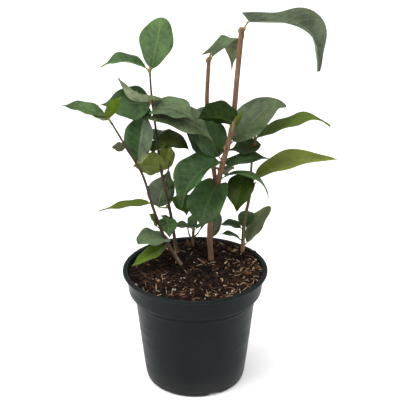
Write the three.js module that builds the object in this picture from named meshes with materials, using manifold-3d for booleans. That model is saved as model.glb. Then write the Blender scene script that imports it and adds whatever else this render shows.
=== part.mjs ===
// A young camellia in its nursery pot: a leaning trunk that forks into two cut boughs, three thin
// canes, a short shoot at the back, and the leaves, grouped in masses along each stem.
// Millimetres, +Z up. The pot stands on z = 0 with its axis on the Z axis; the front is -Y.

import * as THREE from 'three';
import { mergeVertices } from 'three/addons/utils/BufferGeometryUtils.js';
import Module from 'manifold-3d';

const wasm = await Module();
wasm.setup();

// ---- Driving dimensions --------------------------------------------------------------------

const GAP = 0.3;             // clear space between touching pieces

const POT = {
  height: 125,
  footRadius: 52.4,          // outer radius on the ground
  footCorner: 6,             // rounding of the outer bottom edge
  wallTopRadius: 63.3,       // outer radius right under the rim band
  bandBottom: 101,           // height where the rim band begins
  bandBottomRadius: 68.7,
  bandTopRadius: 71.2,
  lipRadius: 75,
  lipHeight: 3,
  wall: 1.8,
  floor: 2,
  underRaise: 3,             // height of the water channel under the floor
  channelInner: 30,          // the channel runs between these radii
  channelOuter: 45,
  sides: 40,
};
const NOTCH = { count: 3, first: -66, width: 18, height: 5.5 };   // drain arches through the foot
const DRAIN = { count: 6, radius: 3.5 };                          // holes in the roof of the channel

const SOIL = { top: 120.5, flatRadius: 62, edgeDrop: 1 };

// Stems: the way of the axis, the radius at its foot and its end, and the sides of its section.
const STEMS = {
  trunk: {
    way: [[17, 27, 118], [15, 25, 150], [19, 22, 192], [29, 19, 237], [37, 16, 274], [41, 13, 325], [45, 10, 377]],
    foot: 2.9, end: 2.5, sides: 9,
  },
  bough_left: {
    way: [[22, 21.5, 202], [19, 27, 223], [14, 37, 250], [12, 42, 290], [14, 45, 337]],
    foot: 2.4, end: 1.9, sides: 7,
  },
  cane_outer: {
    way: [[-13, 15, 118], [-29, 13, 147], [-41, 9, 183], [-53, 3, 229], [-66, -2, 256], [-82, -8, 289]],
    foot: 1.9, end: 0.9, sides: 6,
  },
  cane_inner: {
    way: [[-20, 46, 118], [-25, 32, 168], [-34, 24, 220], [-39, 21, 268], [-43, 19, 310], [-44, 18, 332]],
    foot: 1.9, end: 0.9, sides: 6,
  },
  cane_right: {
    way: [[50, 41, 118], [52, 41, 160], [57, 41, 190], [58, 38, 225], [60, 35, 250], [64, 34, 258]],
    foot: 2.2, end: 1.0, sides: 6,
  },
  shoot_back: {
    way: [[-1.5, 55, 118], [-2.5, 54, 130], [-2, 53, 144]],
    foot: 1.8, end: 1.2, sides: 6,
  },
};
const FORK = { trunkEnd: 214, stubEnd: 220 };       // heights where the trunk piece stops
const FLARE = { share: 0.15, height: 9 };           // widening of a stem at the soil

// Each leaf is set by real sizes in mm and angles in degrees:
// at      height of its node on the stem
// faces   direction it points to, seen from above (0 is +X, 90 is the back)
// rise    slope at its base; droop is how far the slope falls towards the tip
// length, width, petiole (stalk, from the axis of the stem)
// roll    turn about its own midrib; fold raises both halves from the midrib
// wave    rocking of the blade along its length; sweep turns it sideways
// tip     0 is round, 1 is drawn out; broad is where the blade is widest; full below 1 is blunter
// bend    how late the droop comes; ease instead names the stretch of the midrib where it comes
// lobe    share of the full width the blade has at its very base; heel is how far its lobes reach back
// out, lift  direction and slope of the stalk, where it isn't the leaf's own
const LEAF = {
  petiole: 7, droop: 35, roll: 0, sweep: 0, wave: 0, fold: 14, tip: 0.55, broad: 0.42, full: 0.8, bend: 1.5,
  lobe: 0, heel: 0, lift: 45,
};

const BLADE = { stepLength: 9, leastSteps: 3, mostSteps: 9, leastWidth: 0.6, leastThickness: 1.0, slenderness: 90 };
const STALK = { radius: 0.85, least: 2 };     // least is the shortest stalk

// Foliage on a cane takes over a stretch of it, from height to height.
const CANE_FOLIAGE = {
  outer_foot: { on: 'cane_outer', from: 133, to: 172, leaves: [
    { at: 142, faces: 212, rise: -20, length: 44, width: 22, droop: -5, petiole: 5 },
    { at: 149, faces: 203, rise: 14, length: 35, width: 40, droop: 30, petiole: 4, full: 0.5, broad: 0.5,
      tip: 0, out: 0 },
    { at: 163, faces: 192, rise: 66, length: 18, width: 16, droop: 10, petiole: 6, roll: -20 },
  ] },
  outer_middle: { on: 'cane_outer', from: 172, to: 232, leaves: [
    { at: 192, faces: 190, rise: 0, length: 52, width: 19, droop: 13, petiole: 4, broad: 0.32 },
  ] },
  outer_top: { on: 'cane_outer', from: 232, to: 289, leaves: [
    { at: 289, faces: 172, rise: 22, length: 46, width: 21, droop: 28, petiole: 7, roll: -12 },
    { at: 287, faces: 195, rise: 22, length: 18, width: 10, droop: 0, petiole: 5, roll: -20 },
    { at: 287, faces: -40, rise: 62, length: 34, width: 14, droop: 30, petiole: 5, fold: 10, roll: -20,
      ease: [0.5, 1], tip: 0.3, out: 165 },
    { at: 236, faces: 62, rise: 76, length: 48, width: 35, droop: 10, petiole: 6, full: 0.5, broad: 0.55,
      tip: 0.3, fold: 20, out: 110 },
    { at: 256, faces: 185, rise: 8, length: 13, width: 11, droop: 10, petiole: 4, roll: -40, tip: 0.2 },
    { at: 240, faces: -30, rise: 50, length: 16, width: 12, droop: 20, petiole: 4, roll: 40 },
  ] },
  inner_foot: { on: 'cane_inner', from: 150, to: 202, leaves: [
    { at: 180, faces: 62, rise: 58, length: 40, width: 32, droop: 20, petiole: 12, out: 172, lift: 0,
      full: 0.7, broad: 0.4 },
    { at: 184, faces: -60, rise: -10, length: 26, width: 25, droop: 70, petiole: 14, out: 0 },
    { at: 160, faces: -80, rise: -10, length: 26, width: 20, droop: 40, petiole: 9, out: 190, full: 0.6 },
    { at: 157, faces: 150, rise: 40, length: 14, width: 9, droop: 40, petiole: 4 },
    { at: 196, faces: 80, rise: 5, length: 40, width: 19, droop: 60 },
  ] },
  inner_middle: { on: 'cane_inner', from: 202, to: 266, leaves: [
    { at: 251, faces: -5, rise: 22, length: 38, width: 27, droop: 76, petiole: 4, roll: 20, out: 180,
      lobe: 0.3 },
    { at: 255, faces: -100, rise: -5, length: 20, width: 24, droop: 30, petiole: 4 },
    { at: 224, faces: 186, rise: 14, length: 34, width: 34, droop: 20, petiole: 5, roll: 65, out: 0,
      lift: 30 },
    { at: 220, faces: 60, rise: 60, length: 30, width: 22, droop: 0, petiole: 4 },
    { at: 246, faces: 85, rise: 25, length: 44, width: 21, droop: 70 },
  ] },
  inner_shoulder: { on: 'cane_inner', from: 266, to: 318, leaves: [
    { at: 297, faces: 182, rise: 0, length: 44, width: 27, droop: -66, petiole: 4, roll: 22, fold: 50,
      ease: [0.2, 0.7], heel: 12 },
    { at: 295, faces: 183, rise: 4, length: 52, width: 37, droop: 12, petiole: 3, roll: -46, fold: 5,
      broad: 0.32, full: 1.1 },
    { at: 290, faces: -20, rise: 20, length: 45, width: 32, droop: 62, petiole: 3, roll: 18, lobe: 0.6,
      heel: 4, bend: 1.1 },
    { at: 285, faces: -12, rise: -5, length: 64, width: 33, droop: 46, petiole: 4, roll: 30, lobe: 0.7,
      heel: 6 },
    { at: 286, faces: 197, rise: 3, length: 22, width: 22, droop: 10, petiole: 3, roll: -35 },
    { at: 286, faces: 78, rise: 12, length: 52, width: 24, droop: 65 },
  ] },
  inner_top: { on: 'cane_inner', from: 318, to: 332, leaves: [
    { at: 330, faces: 55, rise: 71, length: 51, width: 40, droop: 8, petiole: 4, tip: 0, broad: 0.56,
      full: 0.55, fold: 6 },
    { at: 329, faces: 186, rise: 27, length: 46, width: 34, droop: 58, petiole: 7, fold: 20, lift: 55 },
  ] },
  right_foot: { on: 'cane_right', from: 125, to: 172, leaves: [
    { at: 128, faces: 27, rise: 60, length: 46, width: 28, droop: 20, petiole: 7, tip: 0.1, broad: 0.5,
      full: 0.65 },
    { at: 148, faces: 170, rise: 25, length: 24, width: 20, droop: 50, petiole: 4 },
    { at: 135, faces: 190, rise: 40, length: 25, width: 14, droop: 50, petiole: 4 },
    { at: 144, faces: 80, rise: 35, length: 34, width: 17, droop: 60 },
  ] },
  right_middle: { on: 'cane_right', from: 172, to: 238, leaves: [
    { at: 203, faces: 5, rise: 46, length: 86, width: 33, droop: 55, petiole: 10, roll: 12, fold: 18,
      bend: 0.6, lobe: 0.3 },
    { at: 207, faces: 252, rise: -30, length: 43, width: 29, droop: 45, petiole: 13, full: 0.65, out: 222 },
    { at: 190, faces: 104, rise: 10, length: 44, width: 20, droop: 70 },
  ] },
  right_top: { on: 'cane_right', from: 238, to: 258, leaves: [
    { at: 254, faces: -5, rise: 22, length: 77, width: 31, droop: 55, petiole: 4, roll: 5, fold: 22,
      ease: [0.6, 1], lobe: 0.6 },
    { at: 246, faces: 188, rise: -8, length: 34, width: 25, droop: 0, petiole: 8, roll: -20, out: 0,
      lift: 10 },
    { at: 252, faces: 100, rise: 15, length: 46, width: 22, droop: 60 },
  ] },
  back_shoot: { on: 'shoot_back', from: 132, to: 144, leaves: [
    { at: 143, faces: 185, rise: 25, length: 22, width: 17, droop: 60, petiole: 4 },
    { at: 141, faces: 20, rise: 40, length: 12, width: 7, droop: 40, petiole: 4 },
    { at: 138, faces: 95, rise: 45, length: 22, width: 11, droop: 50, petiole: 5 },
  ] },
};

// Foliage on the trunk and boughs, which run on through it: each mass has its own stalk, clear of them.
const BOUGH_FOLIAGE = {
  crown_right: { on: 'trunk', leaf:
    { at: 369, faces: -5, rise: 0, length: 101, width: 43, droop: 81, petiole: 16, lift: 62, roll: 14,
      fold: 30, wave: -7, ease: [0.34, 0.8], tip: 0.3, full: 0.7, broad: 0.62, lobe: 0.5, heel: 8 } },
  crown_left: { on: 'bough_left', leaf:
    { at: 335.5, faces: 47, rise: 20, length: 65, width: 23, droop: 110, petiole: 5, lift: 50, fold: 8,
      ease: [0.4, 0.55], broad: 0.55, full: 1.1, lobe: 0.6, heel: 9 } },
  upper_left: { on: 'trunk', leaf:
    { at: 267, faces: 181, rise: 22, length: 38, width: 38, droop: 45, petiole: 18, lift: 60, out: -85,
      roll: 58, fold: 30, heel: 2, lobe: 0.5, tip: 0.9 } },
  upper_bud: { on: 'trunk', leaf:
    { at: 268, faces: 30, rise: 65, length: 18, width: 10, droop: 10, petiole: 6 } },
  upper_right: { on: 'trunk', leaf:
    { at: 251, faces: 20, rise: 41, length: 70, width: 44, droop: 72, petiole: 7, roll: 17, broad: 0.46,
      full: 0.65, tip: 0.5, ease: [0.62, 1] } },
  upper_back: { on: 'trunk', leaf:
    { at: 270, faces: 110, rise: 20, length: 58, width: 24, droop: 60, petiole: 8 } },
  middle_up: { on: 'trunk', leaf:
    { at: 235, faces: 155, rise: 63, length: 48, width: 36, droop: 0, petiole: 7, roll: -35 } },
  middle_left: { on: 'trunk', leaf:
    { at: 232, faces: 219, rise: -5, length: 67, width: 45, droop: 79, petiole: 4, roll: -5, fold: 42,
      full: 0.62 } },
  middle_right: { on: 'trunk', leaf:
    { at: 224, faces: 5, rise: 21, length: 46, width: 23, droop: 34, petiole: 5, roll: 10, fold: 20,
      lobe: 0.6, heel: 3 } },
  middle_back: { on: 'trunk', leaf:
    { at: 217, faces: 80, rise: -10, length: 48, width: 24, droop: 50, petiole: 8 } },
  lower_right: { on: 'trunk', leaf:
    { at: 212, faces: -10, rise: 32, length: 60, width: 14, droop: 115, petiole: 7, bend: 1.1 } },
  lower_front: { on: 'trunk', leaf:
    { at: 205, faces: -126, rise: -35, length: 50, width: 45, droop: 52, petiole: 10, lobe: 0.4, heel: 5,
      out: -85 } },
  lower_back: { on: 'trunk', leaf:
    { at: 196, faces: 100, rise: 5, length: 50, width: 24, droop: 70, petiole: 8 } },
  foot_back: { on: 'trunk', leaf:
    { at: 141, faces: 70, rise: 62, length: 33, width: 15, droop: 20, petiole: 7, out: 50 } },
  left_bough_low: { on: 'bough_left', leaf:
    { at: 232, faces: 170, rise: 58, length: 34, width: 28, droop: 10, petiole: 11, roll: -20, out: 180,
      full: 0.6 } },
  left_bough_back: { on: 'bough_left', leaf:
    { at: 262, faces: 110, rise: 25, length: 48, width: 23, droop: 75, petiole: 7 } },
};

const COLOURS = {
  pot: { color: 0x2a2f31, roughness: 0.5 },
  soil: { color: 0x2b1f17, roughness: 0.95 },
  trunk: { color: 0x8a5c3c, roughness: 0.8 },
  cane: { color: 0x3c2b20, roughness: 0.7 },
  leaf: { color: 0x3c5a34, roughness: 0.35 },
};

// ---- Helpers -------------------------------------------------------------------------------

const radians = THREE.MathUtils.degToRad;
const smoothstep = THREE.MathUtils.smoothstep;
const lerp = THREE.MathUtils.lerp;

function heading(azimuth, slope) {
  return new THREE.Vector3(
    Math.cos(slope) * Math.cos(azimuth), Math.cos(slope) * Math.sin(azimuth), Math.sin(slope));
}

function meshGeometry(points, faces) {
  const geometry = new THREE.BufferGeometry();
  geometry.setAttribute('position', new THREE.Float32BufferAttribute(points.flatMap((p) => p.toArray()), 3));
  geometry.setIndex(faces);
  return geometry;
}

function toSolid(geometry) {
  const bare = geometry.clone();
  bare.deleteAttribute('normal');
  bare.deleteAttribute('uv');
  const merged = mergeVertices(bare, 1e-4);
  return new wasm.Manifold(new wasm.Mesh({
    numProp: 3,
    vertProperties: new Float32Array(merged.attributes.position.array),
    triVerts: new Uint32Array(merged.index.array),
  }));
}

function fromSolid(solid) {
  const { vertProperties, triVerts } = solid.getMesh();
  const geometry = new THREE.BufferGeometry();
  geometry.setAttribute('position', new THREE.Float32BufferAttribute(vertProperties, 3));
  geometry.setIndex(new THREE.Uint32BufferAttribute(triVerts, 1));
  return geometry;
}

// A closed skin over rings of equal size, each ring counterclockwise seen from the next one.
function skinRings(rings) {
  const size = rings[0].length;
  const points = rings.flat();
  const faces = [];
  for (let i = 0; i + 1 < rings.length; i++) {
    for (let j = 0; j < size; j++) {
      const k = (j + 1) % size;
      const a = i * size;
      const b = a + size;
      faces.push(a + j, a + k, b + k, a + j, b + k, b + j);
    }
  }
  const last = (rings.length - 1) * size;
  for (let j = 1; j + 1 < size; j++) {
    faces.push(0, j + 1, j);
    faces.push(last, last + j, last + j + 1);
  }
  return meshGeometry(points, faces);
}

// ---- Stems ---------------------------------------------------------------------------------

const curves = {};
for (const [name, stem] of Object.entries(STEMS)) {
  curves[name] = new THREE.CatmullRomCurve3(stem.way.map((p) => new THREE.Vector3(...p)), false, 'centripetal');
}

// The place along a curve where it passes a height, by halving the interval.
function parameterAtHeight(curve, height) {
  let low = 0;
  let high = 1;
  for (let i = 0; i < 30; i++) {
    const middle = (low + high) / 2;
    if (curve.getPointAt(middle).z < height) low = middle;
    else high = middle;
  }
  return (low + high) / 2;
}

function radiusAt(name, u) {
  const stem = STEMS[name];
  const above = curves[name].getPointAt(u).z - SOIL.top;
  const onSoil = stem.way[0][2] <= SOIL.top;
  const flare = onSoil ? 1 + FLARE.share * (1 - smoothstep(above, 0, FLARE.height)) : 1;
  return lerp(stem.foot, stem.end, u) * flare;
}

// A tapering limb between two heights of a stem. Its first section lies level where it meets the soil.
function limb(name, from, to, step = 15) {
  const curve = curves[name];
  const { sides } = STEMS[name];
  const start = parameterAtHeight(curve, from);
  const end = parameterAtHeight(curve, to);
  const count = Math.max(2, Math.round((end - start) * curve.getLength() / step));
  const rings = [];
  for (let i = 0; i <= count; i++) {
    const u = lerp(start, end, i / count);
    const centre = curve.getPointAt(u);
    const along = i === 0 && from < SOIL.top + 1 ? new THREE.Vector3(0, 0, 1) : curve.getTangentAt(u);
    const side = new THREE.Vector3(0, 1, 0).cross(along).normalize();
    const up = along.clone().cross(side);
    const radius = radiusAt(name, u);
    rings.push(Array.from({ length: sides }, (_, j) => {
      const turn = 2 * Math.PI * j / sides;
      return centre.clone()
        .addScaledVector(side, radius * Math.cos(turn))
        .addScaledVector(up, radius * Math.sin(turn));
    }));
  }
  return skinRings(rings);
}

// ---- Leaves --------------------------------------------------------------------------------

function halfWidth(leaf, s) {
  const skew = Math.log(0.5) / Math.log(leaf.broad);
  const round = Math.max(Math.sin(Math.PI * s ** skew), 0) ** leaf.full;
  const pointed = round * (1 - leaf.tip * smoothstep(s, 0.62, 0.93));
  const oval = 1 - (1 - pointed) * (1 - leaf.lobe * (1 - smoothstep(s, 0, leaf.broad)));
  return Math.max(leaf.width * oval, BLADE.leastWidth) / 2;
}

// How far along its droop a leaf is at a share of its length.
function fallen(leaf, s) {
  return leaf.ease ? smoothstep(s, ...leaf.ease) : s ** leaf.bend;
}

// A leaf is one skin: a hexagonal stalk from its root to the base of the blade, and from there a
// folded sheet of real thickness, swept along the drooping midrib.
function leafSkin(leaf, root, base) {
  const thickness = Math.max(BLADE.leastThickness, leaf.length / BLADE.slenderness);
  const fold = radians(leaf.fold);
  const { leastSteps, mostSteps, stepLength } = BLADE;
  const steps = THREE.MathUtils.clamp(Math.round(leaf.length / stepLength), leastSteps, mostSteps);
  const fine = 4;
  const centre = base.clone();
  const rings = [];
  for (let i = 0; i <= steps * fine; i++) {
    const s = i / (steps * fine);
    const azimuth = radians(leaf.faces + leaf.sweep * s);
    const along = heading(azimuth, radians(leaf.rise - leaf.droop * fallen(leaf, s)));
    const level = new THREE.Vector3(-Math.sin(azimuth), Math.cos(azimuth), 0);
    const side = level.applyAxisAngle(along, radians(leaf.roll + leaf.wave * Math.sin(2 * Math.PI * s)));
    if (i === 0) {
      const out = base.clone().sub(root).normalize();
      rings.push(stalkRing(root, out, side), stalkRing(base, out.add(along).normalize(), side));
      continue;
    }
    centre.addScaledVector(along, leaf.length / (steps * fine));
    const isLobe = i === 1 && leaf.lobe > 0;
    if (i % fine && !isLobe) continue;
    const width = halfWidth(leaf, s);
    const up = along.clone().cross(side);
    const ring = sixCorners(centre, side, up, width * Math.cos(fold), width * Math.sin(fold), thickness / 2);
    const back = leaf.heel * (1 - smoothstep(s, 0, 0.35));
    for (const j of [0, 2, 3, 5]) ring[j].addScaledVector(along, -back);
    rings.push(ring);
  }
  return skinRings(rings);
}

// Six corners round a centre: two at each edge, and one above and one below the midrib.
function sixCorners(centre, side, up, width, raise, half, middle = half) {
  const corner = (across, height) => centre.clone().addScaledVector(side, across).addScaledVector(up, height);
  return [
    corner(width, raise + half), corner(0, middle), corner(-width, raise + half),
    corner(-width, raise - half), corner(0, -middle), corner(width, raise - half),
  ];
}

function stalkRing(centre, along, side) {
  const across = side.clone().addScaledVector(along, -side.dot(along)).normalize();
  const up = along.clone().cross(across);
  return sixCorners(centre, across, up, STALK.radius * 0.87, 0, STALK.radius / 2, STALK.radius);
}

// A whole leaf on a stem. Its stalk starts on the axis, or clear of the stem's surface.
function leafSolid(stemName, row, isClear) {
  const leaf = { ...LEAF, ...row };
  const curve = curves[stemName];
  const u = parameterAtHeight(curve, leaf.at);
  const node = curve.getPointAt(u);
  const out = heading(radians(leaf.out ?? leaf.faces), radians(leaf.lift));
  const surface = (radiusAt(stemName, u) + STALK.radius + GAP) / Math.sin(out.angleTo(curve.getTangentAt(u)));
  const start = isClear ? surface : 0;
  const root = node.clone().addScaledVector(out, start);
  const base = node.clone().addScaledVector(out, Math.max(leaf.petiole, start + STALK.least));
  return toSolid(leafSkin(leaf, root, base));
}

// ---- Pieces --------------------------------------------------------------------------------

const plant = new THREE.Group();

function addPiece(name, geometry, { color, roughness }) {
  const material = new THREE.MeshStandardMaterial({ color, roughness, metalness: 0 });
  const mesh = new THREE.Mesh(geometry, material);
  mesh.name = name;
  plant.add(mesh);
}

function turned(profile, sides) {
  const lathe = new THREE.LatheGeometry(profile.map(([r, z]) => new THREE.Vector2(r, z)), sides);
  lathe.rotateX(Math.PI / 2);
  return toSolid(lathe);
}

// Inner radius of the pot at a height above the floor.
function innerWall(z) {
  const foot = POT.footRadius - POT.wall;
  const top = POT.wallTopRadius - POT.wall;
  return lerp(foot, top, z / POT.bandBottom);
}

function potGeometry() {
  const floorTop = POT.underRaise + POT.floor;
  const bandInner = POT.bandBottomRadius - POT.wall;
  const profile = [
    [0, 0],
    [POT.channelInner, 0],
    [POT.channelInner, POT.underRaise],
    [POT.channelOuter, POT.underRaise],
    [POT.channelOuter, 0],
  ];
  for (let i = 0; i <= 2; i++) {
    const turn = Math.PI / 2 * i / 2;
    profile.push([
      POT.footRadius - POT.footCorner * (1 - Math.sin(turn)) * 0.6,
      POT.footCorner * (1 - Math.cos(turn)),
    ]);
  }
  profile.push(
    [POT.wallTopRadius, POT.bandBottom],
    [POT.bandBottomRadius, POT.bandBottom],
    [POT.bandTopRadius, POT.height - POT.lipHeight],
    [POT.lipRadius, POT.height - POT.lipHeight],
    [POT.lipRadius, POT.height - 0.6],
    [POT.lipRadius - 0.6, POT.height],
    [POT.bandTopRadius - POT.wall, POT.height],
    [bandInner, POT.bandBottom + 2],
    [innerWall(POT.bandBottom - 2), POT.bandBottom - 2],
    [innerWall(floorTop), floorTop],
    [0, floorTop],
  );
  let pot = turned(profile, POT.sides);
  for (let i = 0; i < NOTCH.count; i++) {
    pot = pot.subtract(toSolid(notchGeometry(radians(NOTCH.first + 360 * i / NOTCH.count))));
  }
  const middle = (POT.channelInner + POT.channelOuter) / 2;
  for (let i = 0; i < DRAIN.count; i++) {
    const turn = 2 * Math.PI * (i + 0.5) / DRAIN.count;
    const hole = new THREE.CylinderGeometry(DRAIN.radius, DRAIN.radius, 3 * POT.floor, 12);
    hole.rotateX(Math.PI / 2);
    hole.translate(middle * Math.cos(turn), middle * Math.sin(turn), floorTop - POT.floor / 2);
    pot = pot.subtract(toSolid(hole));
  }
  return fromSolid(pot);
}

// An arch that runs outwards through the foot at one direction.
function notchGeometry(turn) {
  const half = NOTCH.width / 2;
  const arch = new THREE.Shape();
  arch.moveTo(-half, -1);
  arch.lineTo(half, -1);
  arch.lineTo(half, NOTCH.height * 0.3);
  arch.quadraticCurveTo(half, NOTCH.height, 0, NOTCH.height);
  arch.quadraticCurveTo(-half, NOTCH.height, -half, NOTCH.height * 0.3);
  arch.closePath();
  const depth = POT.footRadius - POT.channelOuter + 4;
  const geometry = new THREE.ExtrudeGeometry(arch, { depth, bevelEnabled: false, curveSegments: 5 });
  geometry.rotateX(Math.PI / 2);
  geometry.rotateZ(Math.PI / 2);
  geometry.translate(POT.channelOuter - 2, 0, 0);
  geometry.rotateZ(turn);
  return geometry;
}

function soilGeometry() {
  const floorTop = POT.underRaise + POT.floor;
  const bandInner = POT.bandBottomRadius - POT.wall - GAP;
  const slope = (POT.bandTopRadius - POT.bandBottomRadius) / (POT.height - POT.lipHeight - POT.bandBottom);
  const edgeHeight = SOIL.top - SOIL.edgeDrop;
  const edge = bandInner + slope * (edgeHeight - POT.bandBottom) - GAP;
  return fromSolid(turned([
    [0, floorTop + GAP],
    [innerWall(floorTop) - 2 * GAP, floorTop + GAP],
    [innerWall(POT.bandBottom - 2) - 2 * GAP, POT.bandBottom - 2 + GAP],
    [bandInner - GAP, POT.bandBottom + 2 + 2 * GAP],
    [edge, edgeHeight],
    [SOIL.flatRadius, SOIL.top],
    [0, SOIL.top],
  ], POT.sides));
}

addPiece('pot', potGeometry(), COLOURS.pot);
addPiece('soil', soilGeometry(), COLOURS.soil);

const soilLine = SOIL.top + GAP;
const stub = toSolid(limb('bough_left', 203, FORK.stubEnd));
addPiece('trunk', fromSolid(toSolid(limb('trunk', soilLine, FORK.trunkEnd)).add(stub)), COLOURS.trunk);
addPiece('bough_right', limb('trunk', FORK.trunkEnd + 2 * GAP, 377), COLOURS.trunk);
addPiece('bough_left', limb('bough_left', FORK.stubEnd + GAP, 337), COLOURS.trunk);

// The bare foot of each cane, up to where its foliage begins.
for (const name of ['cane_outer', 'cane_inner', 'cane_right', 'shoot_back']) {
  const starts = Object.values(CANE_FOLIAGE).filter((mass) => mass.on === name).map((mass) => mass.from);
  addPiece(name, limb(name, soilLine, Math.min(...starts) - GAP), COLOURS.cane);
}

for (const [name, mass] of Object.entries(CANE_FOLIAGE)) {
  const top = curves[mass.on].getPointAt(1).z;
  let solid = toSolid(limb(mass.on, mass.from, Math.min(mass.to, top) - GAP));
  for (const row of mass.leaves) solid = solid.add(leafSolid(mass.on, row, false));
  addPiece(`foliage_${name}`, fromSolid(solid), COLOURS.leaf);
}

for (const [name, mass] of Object.entries(BOUGH_FOLIAGE)) {
  addPiece(`foliage_${name}`, fromSolid(leafSolid(mass.on, mass.leaf, true)), COLOURS.leaf);
}

export default plant;
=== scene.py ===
"""Looks of a young potted camellia: pot, peat, trunk and canes with their bark, leaves and buds, and a
plain stage.

All lengths in the tables are millimetres and are turned into metres where a mesh is made.
"""

import math
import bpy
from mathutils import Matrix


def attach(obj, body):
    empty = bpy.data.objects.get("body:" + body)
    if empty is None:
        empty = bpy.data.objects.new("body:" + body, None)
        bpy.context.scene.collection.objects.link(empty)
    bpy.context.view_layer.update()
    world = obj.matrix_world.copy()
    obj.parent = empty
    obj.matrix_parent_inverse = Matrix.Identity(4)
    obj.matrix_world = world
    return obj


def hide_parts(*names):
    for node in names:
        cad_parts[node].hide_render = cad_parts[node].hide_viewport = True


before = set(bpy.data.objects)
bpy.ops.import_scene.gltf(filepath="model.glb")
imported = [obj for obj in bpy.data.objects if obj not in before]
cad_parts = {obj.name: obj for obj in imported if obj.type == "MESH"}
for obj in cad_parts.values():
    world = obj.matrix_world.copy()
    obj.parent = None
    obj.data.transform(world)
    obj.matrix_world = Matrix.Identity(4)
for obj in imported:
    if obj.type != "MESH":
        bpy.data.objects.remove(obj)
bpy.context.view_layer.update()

from types import SimpleNamespace

import bpy
import numpy as np
from bpy.props import FloatProperty, FloatVectorProperty, IntProperty, PointerProperty
from bpy.types import Operator, Panel, PropertyGroup
from mathutils import Vector

bl_info = {
    "name": "Potted camellia",
    "version": (1, 0, 0),
    "blender": (4, 5, 0),
    "location": "3D View > Sidebar > Camellia",
    "description": "Builds the pot, peat, stems and leaves of a young camellia round its packed frame",
    "category": "Add Mesh",
}

MM = 0.001

# ---- The plant's own numbers, the same as in the part's source ------------------------------

POT = SimpleNamespace(
    height=125, foot_radius=52.4, wall_top_radius=63.3, band_bottom=101, band_bottom_radius=68.7,
    band_top_radius=71.2, lip_radius=75, lip_height=3, wall=1.8, floor=2, under_raise=3,
    channel_inner=30, channel_outer=45,
)
NOTCH = SimpleNamespace(count=3, first=-66, width=18, height=4.7)
SOIL_TOP = 120.5
FLARE = SimpleNamespace(share=0.15, height=9)
CLEAR = SimpleNamespace(gap=0.3, stalk=0.85, least=2)

STEMS = {
    "trunk": dict(
        way=[(17, 27, 118), (15, 25, 150), (19, 22, 192), (29, 19, 237), (37, 16, 274), (41, 13, 325),
             (45, 10, 377)],
        foot=2.9, end=2.5),
    "bough_left": dict(
        way=[(22, 21.5, 202), (19, 27, 223), (14, 37, 250), (12, 42, 290), (14, 45, 337)],
        foot=2.4, end=1.9),
    "cane_outer": dict(
        way=[(-13, 15, 118), (-29, 13, 147), (-41, 9, 183), (-53, 3, 229), (-66, -2, 256), (-82, -8, 289)],
        foot=1.9, end=0.9),
    "cane_inner": dict(
        way=[(-20, 46, 118), (-25, 32, 168), (-34, 24, 220), (-39, 21, 268), (-43, 19, 310), (-44, 18, 332)],
        foot=1.9, end=0.9),
    "cane_right": dict(
        way=[(50, 41, 118), (52, 41, 160), (57, 41, 190), (58, 38, 225), (60, 35, 250), (64, 34, 258)],
        foot=2.2, end=1.0),
    "shoot_back": dict(
        way=[(-1.5, 55, 118), (-2.5, 54, 130), (-2, 53, 144)],
        foot=1.8, end=1.2),
}

# Short side twigs, which the source leaves out: the way of the axis, the radius at the foot and the end. All
# but the two lowest end in a bud.
TWIGS = [
    dict(way=[(57.2, 41, 190), (59.5, 40, 194), (62, 39, 203)], foot=1.1, end=0.7),
    dict(way=[(57.4, 40.5, 193), (58.4, 39.5, 198), (59.6, 39, 206)], foot=1.0, end=0.6),
    dict(way=[(58.4, 37.4, 230), (56, 36, 234), (53.4, 34, 240.5)], foot=0.9, end=0.6),
    dict(way=[(-18, 24, 112), (-19.5, 20.5, 124), (-20.6, 14.6, 134)], foot=1.5, end=1.2),
    dict(way=[(-33, 24.6, 214), (-28, 23, 222), (-25.4, 22, 236)], foot=0.9, end=0.6),
    dict(way=[(-2.4, 54, 130), (-6, 53, 136), (-8, 52, 145)], foot=1.1, end=0.7),
    dict(way=[(-2.2, 54, 134), (2, 53, 138), (5, 52, 144)], foot=1.0, end=0.6),
    dict(way=[(-3, 55, 118), (-6.5, 52, 127), (-9, 50, 133)], foot=1.1, end=0.7),
]

# at: height of the node; faces: direction seen from above; rise: slope at the base; droop: fall of the
# slope towards the tip, by a power bend of the share of the length or, with ease, between two shares;
# roll: turn about the midrib; fold: raises both halves; wave: rocking along the length; tip: 0 round,
# 1 drawn out; broad: where it is widest; full: a smaller power fills out both ends; lobe: share of the
# width kept at the base; heel: how far the lobes lie behind it; out, lift: the stalk's direction and
# slope, where out is the same as faces unless given; finish: the colours of both sides.
LEAF = dict(petiole=7, droop=35, roll=0, wave=0, fold=14, tip=0.55, broad=0.42, full=0.8, bend=1.5,
            ease=None, lobe=0, heel=0, lift=45)


def leaf(at, faces, rise, length, width, finish, **more):
    """One leaf's row: the usual values with its own put over them."""
    own = dict(at=at, faces=faces, out=faces, rise=rise, length=length, width=width, finish=finish)
    return SimpleNamespace(**{**LEAF, **own, **more})


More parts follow.
